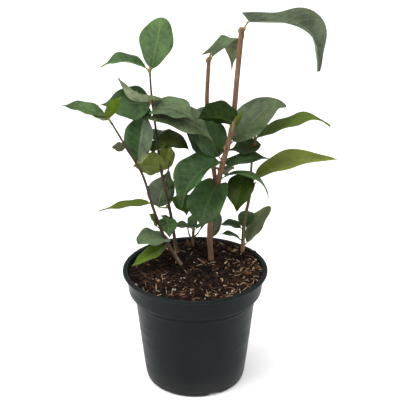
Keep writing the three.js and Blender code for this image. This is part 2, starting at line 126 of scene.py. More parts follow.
CANE_LEAVES = {
    "outer_foot": ("cane_outer", [
        leaf(142, 212, -20, 44, 22, "lit", droop=-5, petiole=5),
        leaf(149, 203, 14, 35, 40, "grey", droop=30, petiole=4, full=0.5, broad=0.5, tip=0, out=0),
        leaf(163, 192, 66, 18, 16, "lit", droop=10, petiole=6, roll=-20),
    ]),
    "outer_middle": ("cane_outer", [
        leaf(192, 190, 0, 52, 19, "lit", droop=13, petiole=4, broad=0.32),
    ]),
    "outer_top": ("cane_outer", [
        leaf(289, 172, 22, 46, 21, "smooth", droop=28, petiole=7, roll=-12),
        leaf(287, 195, 22, 18, 10, "pale", droop=0, petiole=5, roll=-20),
        leaf(287, -40, 62, 34, 14, "lit", droop=30, petiole=5, fold=10, roll=-20, ease=(0.5, 1), tip=0.3,
             out=165),
        leaf(236, 62, 76, 48, 35, "split", droop=10, petiole=6, full=0.5, broad=0.55, tip=0.3, fold=20,
             out=110),
        leaf(256, 185, 8, 13, 11, "young", droop=10, petiole=4, roll=-40, tip=0.2),
        leaf(240, -30, 50, 16, 12, "pale", droop=20, petiole=4, roll=40),
    ]),
    "inner_foot": ("cane_inner", [
        leaf(180, 62, 58, 40, 32, "turned", droop=20, petiole=12, out=172, lift=0, full=0.7, broad=0.4),
        leaf(184, -60, -10, 26, 25, "olive", droop=70, petiole=14, out=0),
        leaf(160, -80, -10, 26, 20, "smooth", droop=40, petiole=9, out=190, full=0.6),
        leaf(157, 150, 40, 14, 9, "smooth", droop=40, petiole=4),
        leaf(196, 80, 5, 40, 19, "deep", droop=60),
    ]),
    "inner_middle": ("cane_inner", [
        leaf(251, -5, 22, 38, 27, "olive", droop=76, petiole=4, roll=20, out=180, lobe=0.3),
        leaf(255, -100, -5, 20, 24, "olive", droop=30, petiole=4),
        leaf(224, 186, 14, 34, 34, "sunny", droop=20, petiole=5, roll=65, out=0, lift=30),
        leaf(220, 60, 60, 30, 22, "sunny", droop=0, petiole=4),
        leaf(246, 85, 25, 44, 21, "deep", droop=70),
    ]),
    "inner_shoulder": ("cane_inner", [
        leaf(297, 182, 0, 44, 27, "silver", droop=-66, petiole=4, roll=22, fold=50, ease=(0.2, 0.7), heel=12),
        leaf(295, 183, 4, 52, 37, "deep", droop=12, petiole=3, roll=-46, fold=5, broad=0.32, full=1.1),
        leaf(290, -20, 20, 45, 32, "grey", droop=62, petiole=3, roll=18, lobe=0.6, heel=4, bend=1.1),
        leaf(285, -12, -5, 64, 33, "grey", droop=46, petiole=4, roll=30, lobe=0.7, heel=6),
        leaf(286, 197, 3, 22, 22, "deep", droop=10, petiole=3, roll=-35),
        leaf(286, 78, 12, 52, 24, "deep", droop=65),
    ]),
    "inner_top": ("cane_inner", [
        leaf(330, 55, 71, 51, 40, "smooth", droop=8, petiole=4, tip=0, broad=0.56, full=0.55, fold=6),
        leaf(329, 186, 27, 46, 34, "smooth", droop=58, petiole=7, fold=20, lift=55),
    ]),
    "right_foot": ("cane_right", [
        leaf(128, 27, 60, 46, 28, "pale", droop=20, petiole=7, tip=0.1, broad=0.5, full=0.65),
        leaf(148, 170, 25, 24, 20, "deep", droop=50, petiole=4),
        leaf(135, 190, 40, 25, 14, "smooth", droop=50, petiole=4),
        leaf(144, 80, 35, 34, 17, "deep", droop=60),
    ]),
    "right_middle": ("cane_right", [
        leaf(203, 5, 46, 86, 33, "sunny", droop=55, petiole=10, roll=12, fold=18, bend=0.6, lobe=0.3),
        leaf(207, 252, -30, 43, 29, "olive", droop=45, petiole=13, full=0.65, out=222),
        leaf(190, 104, 10, 44, 20, "smooth", droop=70),
    ]),
    "right_top": ("cane_right", [
        leaf(254, -5, 22, 77, 31, "fresh", droop=55, petiole=4, roll=5, fold=22, ease=(0.6, 1), lobe=0.6),
        leaf(246, 188, -8, 34, 25, "deep", droop=0, petiole=8, roll=-20, out=0, lift=10),
        leaf(252, 100, 15, 46, 22, "smooth", droop=60),
    ]),
    "back_shoot": ("shoot_back", [
        leaf(143, 185, 25, 22, 17, "dusk", droop=60, petiole=4),
        leaf(141, 20, 40, 12, 7, "dusk", droop=40, petiole=4),
        leaf(138, 95, 45, 22, 11, "deep", droop=50, petiole=5),
    ]),
}

BOUGH_LEAVES = {
    "crown_right": ("trunk", leaf(
        369, -5, 0, 101, 43, "sheen", droop=81, petiole=16, lift=62, roll=14, fold=30, wave=-7,
        ease=(0.34, 0.8), tip=0.3, full=0.7, broad=0.62, lobe=0.5, heel=8)),
    "crown_left": ("bough_left", leaf(
        335.5, 47, 20, 65, 23, "grey", droop=110, petiole=5, lift=50, fold=8, ease=(0.4, 0.55), broad=0.55,
        full=1.1, lobe=0.6, heel=9)),
    "upper_left": ("trunk", leaf(
        267, 181, 22, 38, 38, "dusk", droop=45, petiole=18, lift=60, out=-85, roll=58, fold=30, heel=2,
        lobe=0.5, tip=0.9)),
    "upper_bud": ("trunk", leaf(268, 30, 65, 18, 10, "fresh", droop=10, petiole=6)),
    "upper_right": ("trunk", leaf(
        251, 20, 41, 70, 44, "grey", droop=72, petiole=7, roll=17, broad=0.46, full=0.65, tip=0.5,
        ease=(0.62, 1))),
    "upper_back": ("trunk", leaf(270, 110, 20, 58, 24, "deep", droop=60, petiole=8)),
    "middle_up": ("trunk", leaf(235, 155, 63, 48, 36, "deep", droop=0, petiole=7, roll=-35)),
    "middle_left": ("trunk", leaf(
        232, 219, -5, 67, 45, "deep", droop=79, petiole=4, roll=-5, fold=42, full=0.62)),
    "middle_right": ("trunk", leaf(
        224, 5, 21, 46, 23, "deep", droop=34, petiole=5, roll=10, fold=20, lobe=0.6, heel=3)),
    "middle_back": ("trunk", leaf(217, 80, -10, 48, 24, "deep", droop=50, petiole=8)),
    "lower_right": ("trunk", leaf(212, -10, 32, 60, 14, "smooth", droop=115, petiole=7, bend=1.1)),
    "lower_front": ("trunk", leaf(
        205, -126, -35, 50, 45, "deep", droop=52, petiole=10, lobe=0.4, heel=5, out=-85)),
    "lower_back": ("trunk", leaf(196, 100, 5, 50, 24, "deep", droop=70, petiole=8)),
    "foot_back": ("trunk", leaf(141, 70, 62, 33, 15, "grey", droop=20, petiole=7, out=50)),
    "left_bough_low": ("bough_left", leaf(
        232, 170, 58, 34, 28, "deep", droop=10, petiole=11, roll=-20, out=180, full=0.6)),
    "left_bough_back": ("bough_left", leaf(262, 110, 25, 48, 23, "deep", droop=75, petiole=7)),
}

# Every mass of foliage: its stem, its leaves, and whether their stalks start clear of the bark.
MASSES = {name: (on, rows, False) for name, (on, rows) in CANE_LEAVES.items()}
MASSES.update({name: (on, [row], True) for name, (on, row) in BOUGH_LEAVES.items()})

CANES = ("cane_outer", "cane_inner", "cane_right", "shoot_back")

# The pieces of foliage, and the stems whose masses each one joins.
SPRAYS = {
    "leaves_trunk": ("trunk", "bough_left"),
    "leaves_outer_cane": ("cane_outer",),
    "leaves_inner_cane": ("cane_inner",),
    "leaves_right_cane": ("cane_right",),
    "leaves_back_shoot": ("shoot_back",),
}

# Each finish names the material of the upper and of the under side. A third is for one half of the upper, so
# that one half shows painted sheen beside the darker deep colour of the other.
FINISHES = {
    "deep": ("leaf_deep", "under_pale"),
    "pale": ("leaf_pale", "under_pale"),
    "smooth": ("leaf_smooth", "under_fresh"),
    "grey": ("leaf_grey", "under_pale"),
    "sheen": ("leaf_sheen", "under_pale"),
    "silver": ("leaf_sheen", "under_silver"),
    "fresh": ("leaf_fresh", "under_fresh"),
    "lit": ("leaf_fresh", "under_lit"),
    "dusk": ("leaf_deep", "under_dusk"),
    "young": ("leaf_young", "under_pale"),
    "olive": ("leaf_olive", "under_dusk"),
    "sunny": ("leaf_sunny", "under_fresh"),
    "split": ("leaf_deep", "under_pale", "leaf_sheen"),
    "turned": ("leaf_sheen", "under_pale", "leaf_deep"),
}

# The look of each side of a leaf, besides its own colour: its veins' colour, roughness, specular level and
# the contrast of its blotches.
LEAF_LOOKS = {
    "leaf_deep": ((0.06, 0.092, 0.032), 0.34, 0.14, 1.0),
    "leaf_smooth": ((0.115, 0.17, 0.05), 0.3, 0.14, 1.0),
    "leaf_fresh": ((0.14, 0.19, 0.03), 0.36, 0.12, 0.5),
    "leaf_grey": ((0.11, 0.145, 0.07), 0.38, 0.16, 1.0),
    "leaf_sheen": ((0.15, 0.18, 0.11), 0.38, 0.16, 1.0),
    "leaf_pale": ((0.17, 0.21, 0.11), 0.4, 0.14, 0.6),
    "leaf_olive": ((0.045, 0.07, 0.006), 0.4, 0.1, 1.0),
    "leaf_sunny": ((0.17, 0.22, 0.045), 0.36, 0.12, 0.45),
    "leaf_young": ((0.12, 0.11, 0.06), 0.45, 0.12, 1.0),
    "under_pale": ((0.16, 0.19, 0.095), 0.55, 0.1, 1.0),
    "under_silver": ((0.3, 0.33, 0.2), 0.5, 0.12, 1.0),
    "under_fresh": ((0.16, 0.2, 0.05), 0.5, 0.1, 0.5),
    "under_lit": ((0.11, 0.155, 0.012), 0.5, 0.1, 0.5),
    "under_dusk": ((0.04, 0.062, 0.004), 0.5, 0.08, 1.0),
}

# Bark of stalks and buds: the young, the old and the darkest colour.
STALK_LOOKS = {
    "stalk_green": ((0.17, 0.21, 0.06), (0.12, 0.13, 0.04), (0.08, 0.07, 0.025)),
    "stalk_brown": ((0.16, 0.085, 0.035), (0.1, 0.06, 0.025), (0.06, 0.03, 0.015)),
    "bud_scale": ((0.30, 0.13, 0.05), (0.22, 0.16, 0.06), (0.12, 0.05, 0.025)),
    "bud_green": ((0.20, 0.25, 0.08), (0.16, 0.17, 0.06), (0.14, 0.09, 0.04)),
}
BROWN_STALKED = ("grey", "sheen", "silver", "deep", "young")

# Stalks are thick from one length of leaf and buds large from another, and a twig that ends above a height
# has a bud. Then the length of the bud on each cane's tip, and further buds as stem, height and bearing.
THICK_STALK, LARGE_BUD, BUDDED_TWIG = 20, 30, 135
TIP_BUDS = {"cane_outer": 5.5, "cane_inner": 6.5, "cane_right": 5.5, "shoot_back": 4}
SIDE_BUDS = [("trunk", 373.5, -20), ("trunk", 371, 150), ("bough_left", 334, -15), ("bough_left", 331, 170),
             ("trunk", 249, 200), ("trunk", 224, 190)]

# The furrows of the bark: how many go round a limb, and their depth as a share of its radius.
FURROWS = ((3, 0.02), (5, 0.018), (8, 0.014), (13, 0.01))

# Litter on the soil: two shades of each kind, and its share of the pieces.
CHIPS = {
    "chip_dark": ((0.016, 0.008, 0.005), (0.009, 0.005, 0.003), 0.5),
    "chip_brown": ((0.052, 0.022, 0.013), (0.028, 0.013, 0.007), 0.27),
    "chip_orange": ((0.15, 0.066, 0.032), (0.082, 0.035, 0.016), 0.08),
    "chip_tan": ((0.37, 0.245, 0.145), (0.22, 0.135, 0.072), 0.15),
}
FIBRES = {
    "fibre_brown": ((0.05, 0.022, 0.012), (0.024, 0.011, 0.006), 0.56),
    "fibre_orange": ((0.15, 0.068, 0.033), (0.082, 0.035, 0.016), 0.14),
    "fibre_straw": ((0.42, 0.3, 0.18), (0.26, 0.17, 0.095), 0.3),
}

# Middles of the heaps that the chips and fibres lie in, and the mesh of the soil's surface.
HEAPS = [(18, -50), (44, -30), (54, -6), (30, -44), (-32, -20), (-8, -46), (34, 36), (56, 12)]
PEAT_AROUND, PEAT_RINGS = 540, 98

# The point that the camera and the lights face, the lights' width and places, in metres, the power's
# setting of each, and the camera's film in millimetres.
AIM = Vector((0.005, 0, 0.2015))
LIGHT_WIDTH = 0.9
LIGHTS = {
    "key_light": ((-0.75, -0.55, 1.5), "key_power"),
    "left_light": ((-1.5, -0.5, 0.75), "fill_power"),
    "right_light": ((1.5, -0.2, 0.9), "fill_power"),
}
FILM = 36

# Places of a blade's points between margin and midrib, as shares of its half width.
ACROSS = np.array([1, 0.965, 0.87, 0.72, 0.55, 0.38, 0.23, 0.11, 0.045, 0])


# ---- Numbers over whole arrays --------------------------------------------------------------

def ramp(value, low, high):
    """0 below low, 1 above high, and 3t squared less 2t cubed between them."""
    t = np.clip((value - low) / (high - low), 0, 1)
    return t * t * (3 - 2 * t)


def full_turn(around):
    """Angles at even steps round a circle."""
    return 2 * np.pi * np.arange(around) / around


def unit(vectors):
    """Each vector over its own length."""
    return vectors / np.linalg.norm(vectors, axis=-1, keepdims=True)


def heading(azimuth, slope):
    """The direction with that bearing and slope, in radians."""
    azimuth, slope = np.broadcast_arrays(azimuth, slope)
    return np.stack([np.cos(slope) * np.cos(azimuth), np.cos(slope) * np.sin(azimuth), np.sin(slope)], -1)


def lattice(across, along, seed):
    """A repeatable number from 0 to 1 for each pair of whole numbers: their weighted sum, stirred twice."""
    mixed = (across * 374761393 + along * 668265263 + seed * 974711) & 0xFFFFFFFF
    mixed = ((mixed ^ (mixed >> 13)) * 1274126177) & 0xFFFFFFFF
    return (mixed ^ (mixed >> 16)) / 2**32


def rolling(x, y, size, seed):
    """Smooth noise from 0 to 1: lattice numbers a size apart, blended by 3t squared less 2t cubed."""
    gx, gy = x / size, y / size
    ix, iy = np.floor(gx).astype(np.int64), np.floor(gy).astype(np.int64)
    tx, ty = ramp(gx - ix, 0, 1), ramp(gy - iy, 0, 1)
    low = lattice(ix, iy, seed) * (1 - tx) + lattice(ix + 1, iy, seed) * tx
    high = lattice(ix, iy + 1, seed) * (1 - tx) + lattice(ix + 1, iy + 1, seed) * tx
    return low * (1 - ty) + high * ty


def crumb(x, y, size, seed):
    """Round lumps on a jittered lattice: the height is the root of one less the squared distance to the
    nearest jittered point, in cells, times that point's own number."""
    gx, gy = x / size, y / size
    ix, iy = np.floor(gx).astype(np.int64), np.floor(gy).astype(np.int64)
    nearest = np.full(x.shape, 9.0)
    own = np.zeros(x.shape)
    for step in range(9):
        cx, cy = ix + step % 3 - 1, iy + step // 3 - 1
        away = np.hypot(gx - cx - lattice(cx, cy, seed), gy - cy - lattice(cx, cy, seed + 1))
        closer = away < nearest
        nearest = np.where(closer, away, nearest)
        own = np.where(closer, lattice(cx, cy, seed + 2), own)
    return np.sqrt(np.clip(1 - (nearest / 0.75) ** 2, 0, 1)) * (0.25 + 0.75 * own)


def turning(yaw, pitch, roll):
    """Turning matrices: roll about X, then pitch about Y, then yaw about Z."""
    cy, sy, cp, sp, cr, sr = (f(a) for a in (yaw, pitch, roll) for f in (np.cos, np.sin))
    rows = [cy * cp, cy * sp * sr - sy * cr, cy * sp * cr + sy * sr,
            sy * cp, sy * sp * sr + cy * cr, sy * sp * cr - cy * sr,
            -sp, cp * sr, cp * cr]
    return np.stack(rows, -1).reshape(-1, 3, 3)


# ---- Skins and meshes -----------------------------------------------------------------------

class Gather:
    """Closed skins that go into one mesh, with material numbers for faces and a guide vector per point."""

    def __init__(self):
        self.points, self.guides, self.faces, self.slots, self.flat = [], [], [], [], []
        self.count = 0

    def add(self, points, faces, slots=0, guide=None, flat=False):
        """faces is a list of arrays of three or four columns, and slots and flat hold one value for all or
        one for each."""
        slots = slots if isinstance(slots, list) else [slots] * len(faces)
        flat = flat if isinstance(flat, list) else [flat] * len(faces)
        self.points.append(points)
        self.guides.append(points if guide is None else guide)
        for group, number, is_flat in zip(faces, slots, flat):
            self.faces.append(group + self.count)
            self.slots.append(np.broadcast_to(number, len(group)))
            self.flat.append(np.full(len(group), is_flat))
        self.count += len(points)

    def add_rings(self, rings, slots=0, guide=None, flat=False, ends=None):
        """A closed skin over rings of points, in metres."""
        points, quads, foot, head = ring_skin(rings, ends)
        self.add(points, [quads.reshape(-1, 4), foot, head], slots, guide, flat)

    def add_tube(self, path, radius, around, slot, hint=(0.0, 1.0, 0.0), ends=None):
        """A closed skin round a path in millimetres, whose guide is the same skin straightened."""
        rings = rings_along(path * MM, radius * MM, around, hint)
        self.add_rings(rings, slot, straightened(path * MM, radius * MM, around), ends=ends)

    def build(self, name, materials, guide="grain"):
        """The object: points, corners and face starts are written whole into a new mesh."""
        points = np.concatenate(self.points).astype(np.float32)
        corners = np.concatenate([f.ravel() for f in self.faces]).astype(np.int32)
        sizes = np.concatenate([np.full(len(f), f.shape[1]) for f in self.faces])
        mesh = bpy.data.meshes.new(name)
        mesh.vertices.add(len(points))
        mesh.vertices.foreach_set("co", points.ravel())
        mesh.loops.add(len(corners))
        mesh.loops.foreach_set("vertex_index", corners)
        mesh.polygons.add(len(sizes))
        mesh.polygons.foreach_set("loop_start", (np.cumsum(sizes) - sizes).astype(np.int32))
        slots = np.concatenate(self.slots)
        used = np.unique(slots)
        mesh.polygons.foreach_set("material_index", np.searchsorted(used, slots).astype(np.int32))
        mesh.polygons.foreach_set("use_smooth", ~np.concatenate(self.flat))
        mesh.attributes.new(guide, "FLOAT_VECTOR", "POINT")
        vectors = np.concatenate(self.guides).astype(np.float32)
        mesh.attributes[guide].data.foreach_set("vector", vectors.ravel())
        mesh.update(calc_edges=True)
        mesh.validate()
        for number in used:
            mesh.materials.append(materials[number])
        piece = bpy.data.objects.new(name, mesh)
        bpy.context.scene.collection.objects.link(piece)
        return piece


def ring_skin(rings, ends=None):
    """A closed skin over rings of points, each counterclockwise seen from the next: quads between
    neighbouring rings, and a fan from a middle point over the first and the last. Returns the points, the
    quads as rows by columns, and the two fans."""
    rows, around = rings.shape[:2]
    here = np.arange(around)
    after = (here + 1) % around
    row = np.arange(rows - 1)[:, None] * around
    quads = np.stack([row + here, row + after, row + around + after, row + around + here], -1)
    middles = np.stack([rings[0].mean(0), rings[-1].mean(0)]) if ends is None else np.asarray(ends)
    points = np.concatenate([rings.reshape(-1, 3), middles])
    size, last = rows * around, (rows - 1) * around
    foot = np.stack([np.full(around, size), after, here], -1)
    head = np.stack([np.full(around, size + 1), last + here, last + after], -1)
    return points, quads, foot, head


def rings_along(path, radius, around, hint=(0.0, 1.0, 0.0)):
    """Rings round a path: centre + radius (side cos t + up sin t), where side is square to the hint and
    the path, up to both, and radius holds one value for each ring or each ring point."""
    along = unit(np.gradient(path, axis=0))
    side = unit(np.cross(hint, along))
    up = np.cross(along, side)
    turn = full_turn(around)
    spoke = np.cos(turn)[:, None] * side[:, None] + np.sin(turn)[:, None] * up[:, None]
    return path[:, None] + radius.reshape(len(path), -1, 1) * spoke


def straightened(path, radius, around):
    """The guide of a stem's skin: the same rings on a straight axis, so that grain follows the stem."""
    run = np.concatenate([[0], np.cumsum(np.linalg.norm(np.diff(path, axis=0), axis=1))])
    turn = full_turn(around)
    flat = np.stack([np.outer(radius, np.cos(turn)), np.outer(radius, np.sin(turn))], -1)
    rings = np.concatenate([flat, np.broadcast_to(run[:, None, None], flat.shape[:2] + (1,))], -1)
    ends = np.array([[0, 0, run[0]], [0, 0, run[-1]]])
    return np.concatenate([rings.reshape(-1, 3), ends])


def spline(way, each=60):
    """A Catmull-Rom curve through the points of a way, its knots a root of their distance apart, with the
    second point and the last but one mirrored outwards as its guides."""
    p = np.asarray(way, float)
    p = np.vstack([2 * p[0] - p[1], p, 2 * p[-1] - p[-2]])
    gap = np.sqrt(np.linalg.norm(np.diff(p, axis=0), axis=1))[:, None]
    a, b, c, d = p[:-3], p[1:-2], p[2:-1], p[3:]
    g0, g1, g2 = gap[:-2], gap[1:-1], gap[2:]
    leave = g1 * ((b - a) / g0 - (c - a) / (g0 + g1) + (c - b) / g1)
    arrive = g1 * ((c - b) / g1 - (d - b) / (g1 + g2) + (d - c) / g2)
    t = np.linspace(0, 1, each, endpoint=False)[:, None, None]
    curve = ((2 * t**3 - 3 * t**2 + 1) * b + (t**3 - 2 * t**2 + t) * leave
             + (3 * t**2 - 2 * t**3) * c + (t**3 - t**2) * arrive)
    return np.vstack([curve.transpose(1, 0, 2).reshape(-1, 3), p[-2]])


class Stem:
    """A stem's axis as a fine polyline in millimetres, with the length run so far at each of its points."""

    def __init__(self, way, foot, end):
        self.axis = spline(way)
        self.run = np.concatenate([[0], np.cumsum(np.linalg.norm(np.diff(self.axis, axis=0), axis=1))])
        self.foot, self.end = foot, end
        self.on_soil = way[0][2] <= SOIL_TOP

    def run_at(self, height):
        """The length run up to a height."""
        return np.interp(height, self.axis[:, 2], self.run)

    def point(self, run):
        """The place on the axis after a length."""
        return np.stack([np.interp(run, self.run, self.axis[:, k]) for k in range(3)], -1)

    def tangent(self, run):
        """The direction of the axis: between the places half a millimetre before and after."""
        return unit(self.point(run + 0.5) - self.point(run - 0.5))

    def radius(self, run):
        """The foot's radius blended to the end's, wider by the flare where the stem leaves the soil."""
        share = np.clip(run / self.run[-1], 0, 1)
        widening = FLARE.share * (1 - ramp(self.point(run)[..., 2] - SOIL_TOP, 0, FLARE.height))
        return (self.foot + (self.end - self.foot) * share) * (1 + widening * self.on_soil)


PLANT = {name: Stem(**row) for name, row in STEMS.items()}


def nodes_on(name):
    """The heights and bearings of the leaves on a stem."""
    return [(row.at, row.out) for on, rows, _ in MASSES.values() if on == name for row in rows]


# ---- Leaves ---------------------------------------------------------------------------------

def leaf_stand(row, on, is_clear):
    """Where the stalk leaves the axis, its direction and the base of the blade, in millimetres. A leaf on
    a bough starts as far out as keeps its stalk clear of the bark."""
    stem = PLANT[on]
    run = stem.run_at(row.at)
    node = stem.point(run)
    out = heading(math.radians(row.out), math.radians(row.lift))
    lean = np.linalg.norm(np.cross(out, stem.tangent(run)))
    start = (stem.radius(run) + CLEAR.stalk + CLEAR.gap) / lean if is_clear else 0
    return node, out, node + out * max(row.petiole, start + CLEAR.least)


def leaf_spine(row, base, s):
    """The midrib at shares s of the length. Its slope falls by droop times s to the power bend, or by droop
    times a smooth step between the two shares of ease, and each place is the base plus the summed
    directions, with the half step that the coarse blade of the source has."""
    azimuth = np.full(len(s), np.radians(row.faces))
    fall = s**row.bend if row.ease is None else ramp(s, *row.ease)
    along = heading(azimuth, np.radians(row.rise - row.droop * fall))
    steps = 4 * np.clip(round(row.length / 9), 3, 9)
    middle = (along[1:] + along[:-1]) / 2 * np.diff(s)[:, None] * row.length
    place = base + np.vstack([np.zeros(3), np.cumsum(middle, axis=0)])
    place = place + (along - along[0]) * row.length / (2 * steps)
    level = np.stack([-np.sin(azimuth), np.cos(azimuth), np.zeros_like(azimuth)], -1)
    turn = np.radians(row.roll + row.wave * np.sin(2 * np.pi * s))[:, None]
    side = level * np.cos(turn) + np.cross(along, level) * np.sin(turn)
    return place, along, side


def leaf_skin(row, base, kit, chance):
    """One blade in millimetres. Across it, x runs from 1 to -1 over the upper side and back over the under
    side. A point is the midrib + side (x times half the width) + up times the sum of the fold, the
    undulation of the margin, the quilting between side veins, the groove of the midrib and the thickness,
    which falls to nothing at the margin. The half width is half the width times a power of a skewed sine,
    drawn in at the tip and kept wide at the base by the lobe, with teeth that lean forward. Near the base
    each point also moves back along the midrib by the heel times |x|."""
    teeth = max(6, round(row.length / (kit.tooth_pitch / MM)))
    s = np.linspace(0, 1, 3 * teeth + 1)
    place, along, side = leaf_spine(row, base, s)
    up = np.cross(along, side)
    skew = math.log(0.5) / math.log(row.broad)
    oval = np.maximum(np.sin(np.pi * s**skew), 0) ** row.full * (1 - row.tip * ramp(s, 0.62, 0.93))
    oval = 1 - (1 - oval) * (1 - row.lobe * (1 - ramp(s, 0, row.broad)))
    tooth = (np.arange(len(s)) % 3) / 2 * ramp(s, 0.1, 0.2) * (1 - ramp(s, 0.9, 0.97))
    half = np.maximum(row.width * oval, 0.5) / 2 + kit.tooth_depth / MM * tooth * (oval > 0.05)

    upper = np.concatenate([ACROSS, -ACROSS[-2::-1]])
    x = np.concatenate([upper, upper[-2:0:-1]])[None]
    is_upper = np.arange(x.shape[1]) < len(upper)
    size = np.abs(x)

    pairs = np.clip(row.length / 6.5, 4, 10)
    phase = pairs * (s[:, None] * 1.04 - 0.16 * size * (1 + 0.45 * size))
    near = np.abs((phase + 0.45 * (x > 0) + 0.5) % 1 - 0.5)
    open_field = (1 - ramp(size, 0.75, 1)) * ramp(size, 0.02, 0.2) * np.minimum(1, half[:, None] / 6)
    relief = min(0.3, row.length * 0.006) * open_field
    quilt = relief * (0.7 * (0.5 - 0.5 * np.cos(2 * np.pi * near)) - 0.75 * np.exp(-((near / 0.08) ** 2)))
    rib = np.exp(-((x * half[:, None] / 0.55) ** 2)) * (1 - s[:, None]) ** 0.6
    groove = np.where(is_upper, -0.22, -0.55) * rib

    soft = (np.sqrt(x**2 + 0.02) - math.sqrt(0.02)) / (math.sqrt(1.02) - math.sqrt(0.02))
    raise_by = half[:, None] * math.sin(math.radians(row.fold)) * soft * (1.06 - 0.28 * x**2)
    ripple = row.width * kit.ripple * size**3 * np.sin(
        2 * np.pi * ((1.6 + chance[0]) * s[:, None] + chance[1] + 0.37 * (x > 0)))
    ripple = ripple * ramp(s[:, None], 0.05, 0.3)
    layer = kit.thickness / MM / 2 * np.sqrt(np.clip(1 - size**6, 0, 1)) * np.where(is_upper, 1, -1)
    layer = layer * np.where(size == 1, 0, 1)
    height = raise_by + ripple + quilt + groove + layer

    width = x * half[:, None] * math.cos(math.radians(row.fold) * 0.8)
    rings = place[:, None] + side[:, None] * width[..., None] + up[:, None] * height[..., None]
    back = row.heel * size * (1 - ramp(s, 0, 0.35))[:, None]
    rings = rings - along[:, None] * back[..., None]
    points, quads, foot, head = ring_skin(rings, [rings[0, len(upper) // 2], place[-1]])
    guide = np.stack(np.broadcast_arrays(phase, x, chance[2]), -1)
    ends = np.array([[phase[0, 0], 0, chance[2]], [phase[-1, 0], 0, chance[2]]])
    columns = np.broadcast_to(np.arange(x.shape[1]) < len(upper) - 1, quads.shape[:2])
    return points, quads, foot, head, np.concatenate([guide.reshape(-1, 3), ends]), columns


def stalk_path(node, out, base, along, length):
    """A stalk's axis: a curve of the second degree from the axis of the stem through the stalk's own
    direction to the base of the blade, and on under it for 0.035 of the blade's length."""
    reach = np.linalg.norm(base - node)
    guide = (node + out * reach * 0.62 + base - along * reach * 0.3) / 2
    t = np.linspace(0, 1, 9)[:, None]
    bow = (1 - t) ** 2 * node + 2 * t * (1 - t) * guide + t**2 * base
    return np.vstack([bow, base + along * length * 0.035])


# ---- Materials ------------------------------------------------------------------------------

class Recipe:
    """A material's node tree, built by short calls. A socket is linked, and any other value is set."""

    def __init__(self, name):
        self.material = bpy.data.materials.new(name)
        self.material.use_nodes = True
        self.tree = self.material.node_tree
        self.tree.nodes.clear()

    def add(self, kind, inputs, out=0, **settings):
        """A node of a kind with its inputs by name or number; returns one of its output sockets."""
        node = self.tree.nodes.new("ShaderNode" + kind)
        for key, value in settings.items():
            setattr(node, key, value)
        for key, value in inputs.items():
            if isinstance(value, bpy.types.NodeSocket):
                self.tree.links.new(value, node.inputs[key])
            else:
                node.inputs[key].default_value = value
        return node.outputs[out] if len(node.outputs) else None

    def sum(self, operation, a, b=0.0):
        """One arithmetic step."""
        return self.add("Math", {0: a, 1: b}, operation=operation)

    def times(self, a, b):
        """One value times another."""
        return self.sum("MULTIPLY", a, b)

    def plus(self, a, b):
        """One value and another."""
        return self.sum("ADD", a, b)

    def fit(self, value, low, high, at_low, at_high):
        """A smooth step of a value from one range to another."""
        return self.add("MapRange", {0: value, 1: low, 2: high, 3: at_low, 4: at_high},
                        interpolation_type="SMOOTHSTEP")

    def blend(self, share, a, b):
        """A mix of two colours."""
        colours = {6: self.solid(a), 7: self.solid(b)}
        return self.add("Mix", {0: share, **colours}, 2, data_type="RGBA")

    @staticmethod
    def solid(colour):
        """A colour with full alpha, or the socket as it is."""
        return colour if isinstance(colour, bpy.types.NodeSocket) else (*colour[:3], 1.0)

    def place(self, stretch=(1.0, 1.0, 1.0), guide=None):
        """Object coordinates, or a guide attribute, stretched along each axis."""
        if guide is None:
            vector = self.add("TexCoord", {}, "Object")
        else:
            vector = self.add("Attribute", {}, "Vector", attribute_name=guide)
        return self.add("Mapping", {"Vector": vector, "Scale": stretch})

    def altitude(self):
        """The height above the ground, in metres."""
        return self.add("SeparateXYZ", {0: self.add("TexCoord", {}, "Object")}).node.outputs[2]

    def cloud(self, where, scale, detail=3.0, rough=0.55):
        """Soft noise from 0 to 1."""
        inputs = {"Vector": where, "Scale": scale, "Detail": detail, "Roughness": rough}
        return self.add("TexNoise", inputs, "Fac")

    def finish(self, colour, roughness, height, depth, strength, specular):
        """The shader: colour and roughness from nodes, bumps of a depth in metres from the height."""
        bump = self.add("Bump", {"Strength": strength, "Distance": depth, "Height": height})
        shader = self.add("BsdfPrincipled", {"Base Color": self.solid(colour), "Roughness": roughness,
                                             "Normal": bump, "Specular IOR Level": specular})
        self.add("OutputMaterial", {"Surface": shader})
        return self.material


def toned(colour, share, more=0.0):
    """A colour times a share, with a little more of each channel, up to 1."""
    return tuple(min(1.0, c * share + more) for c in colour)


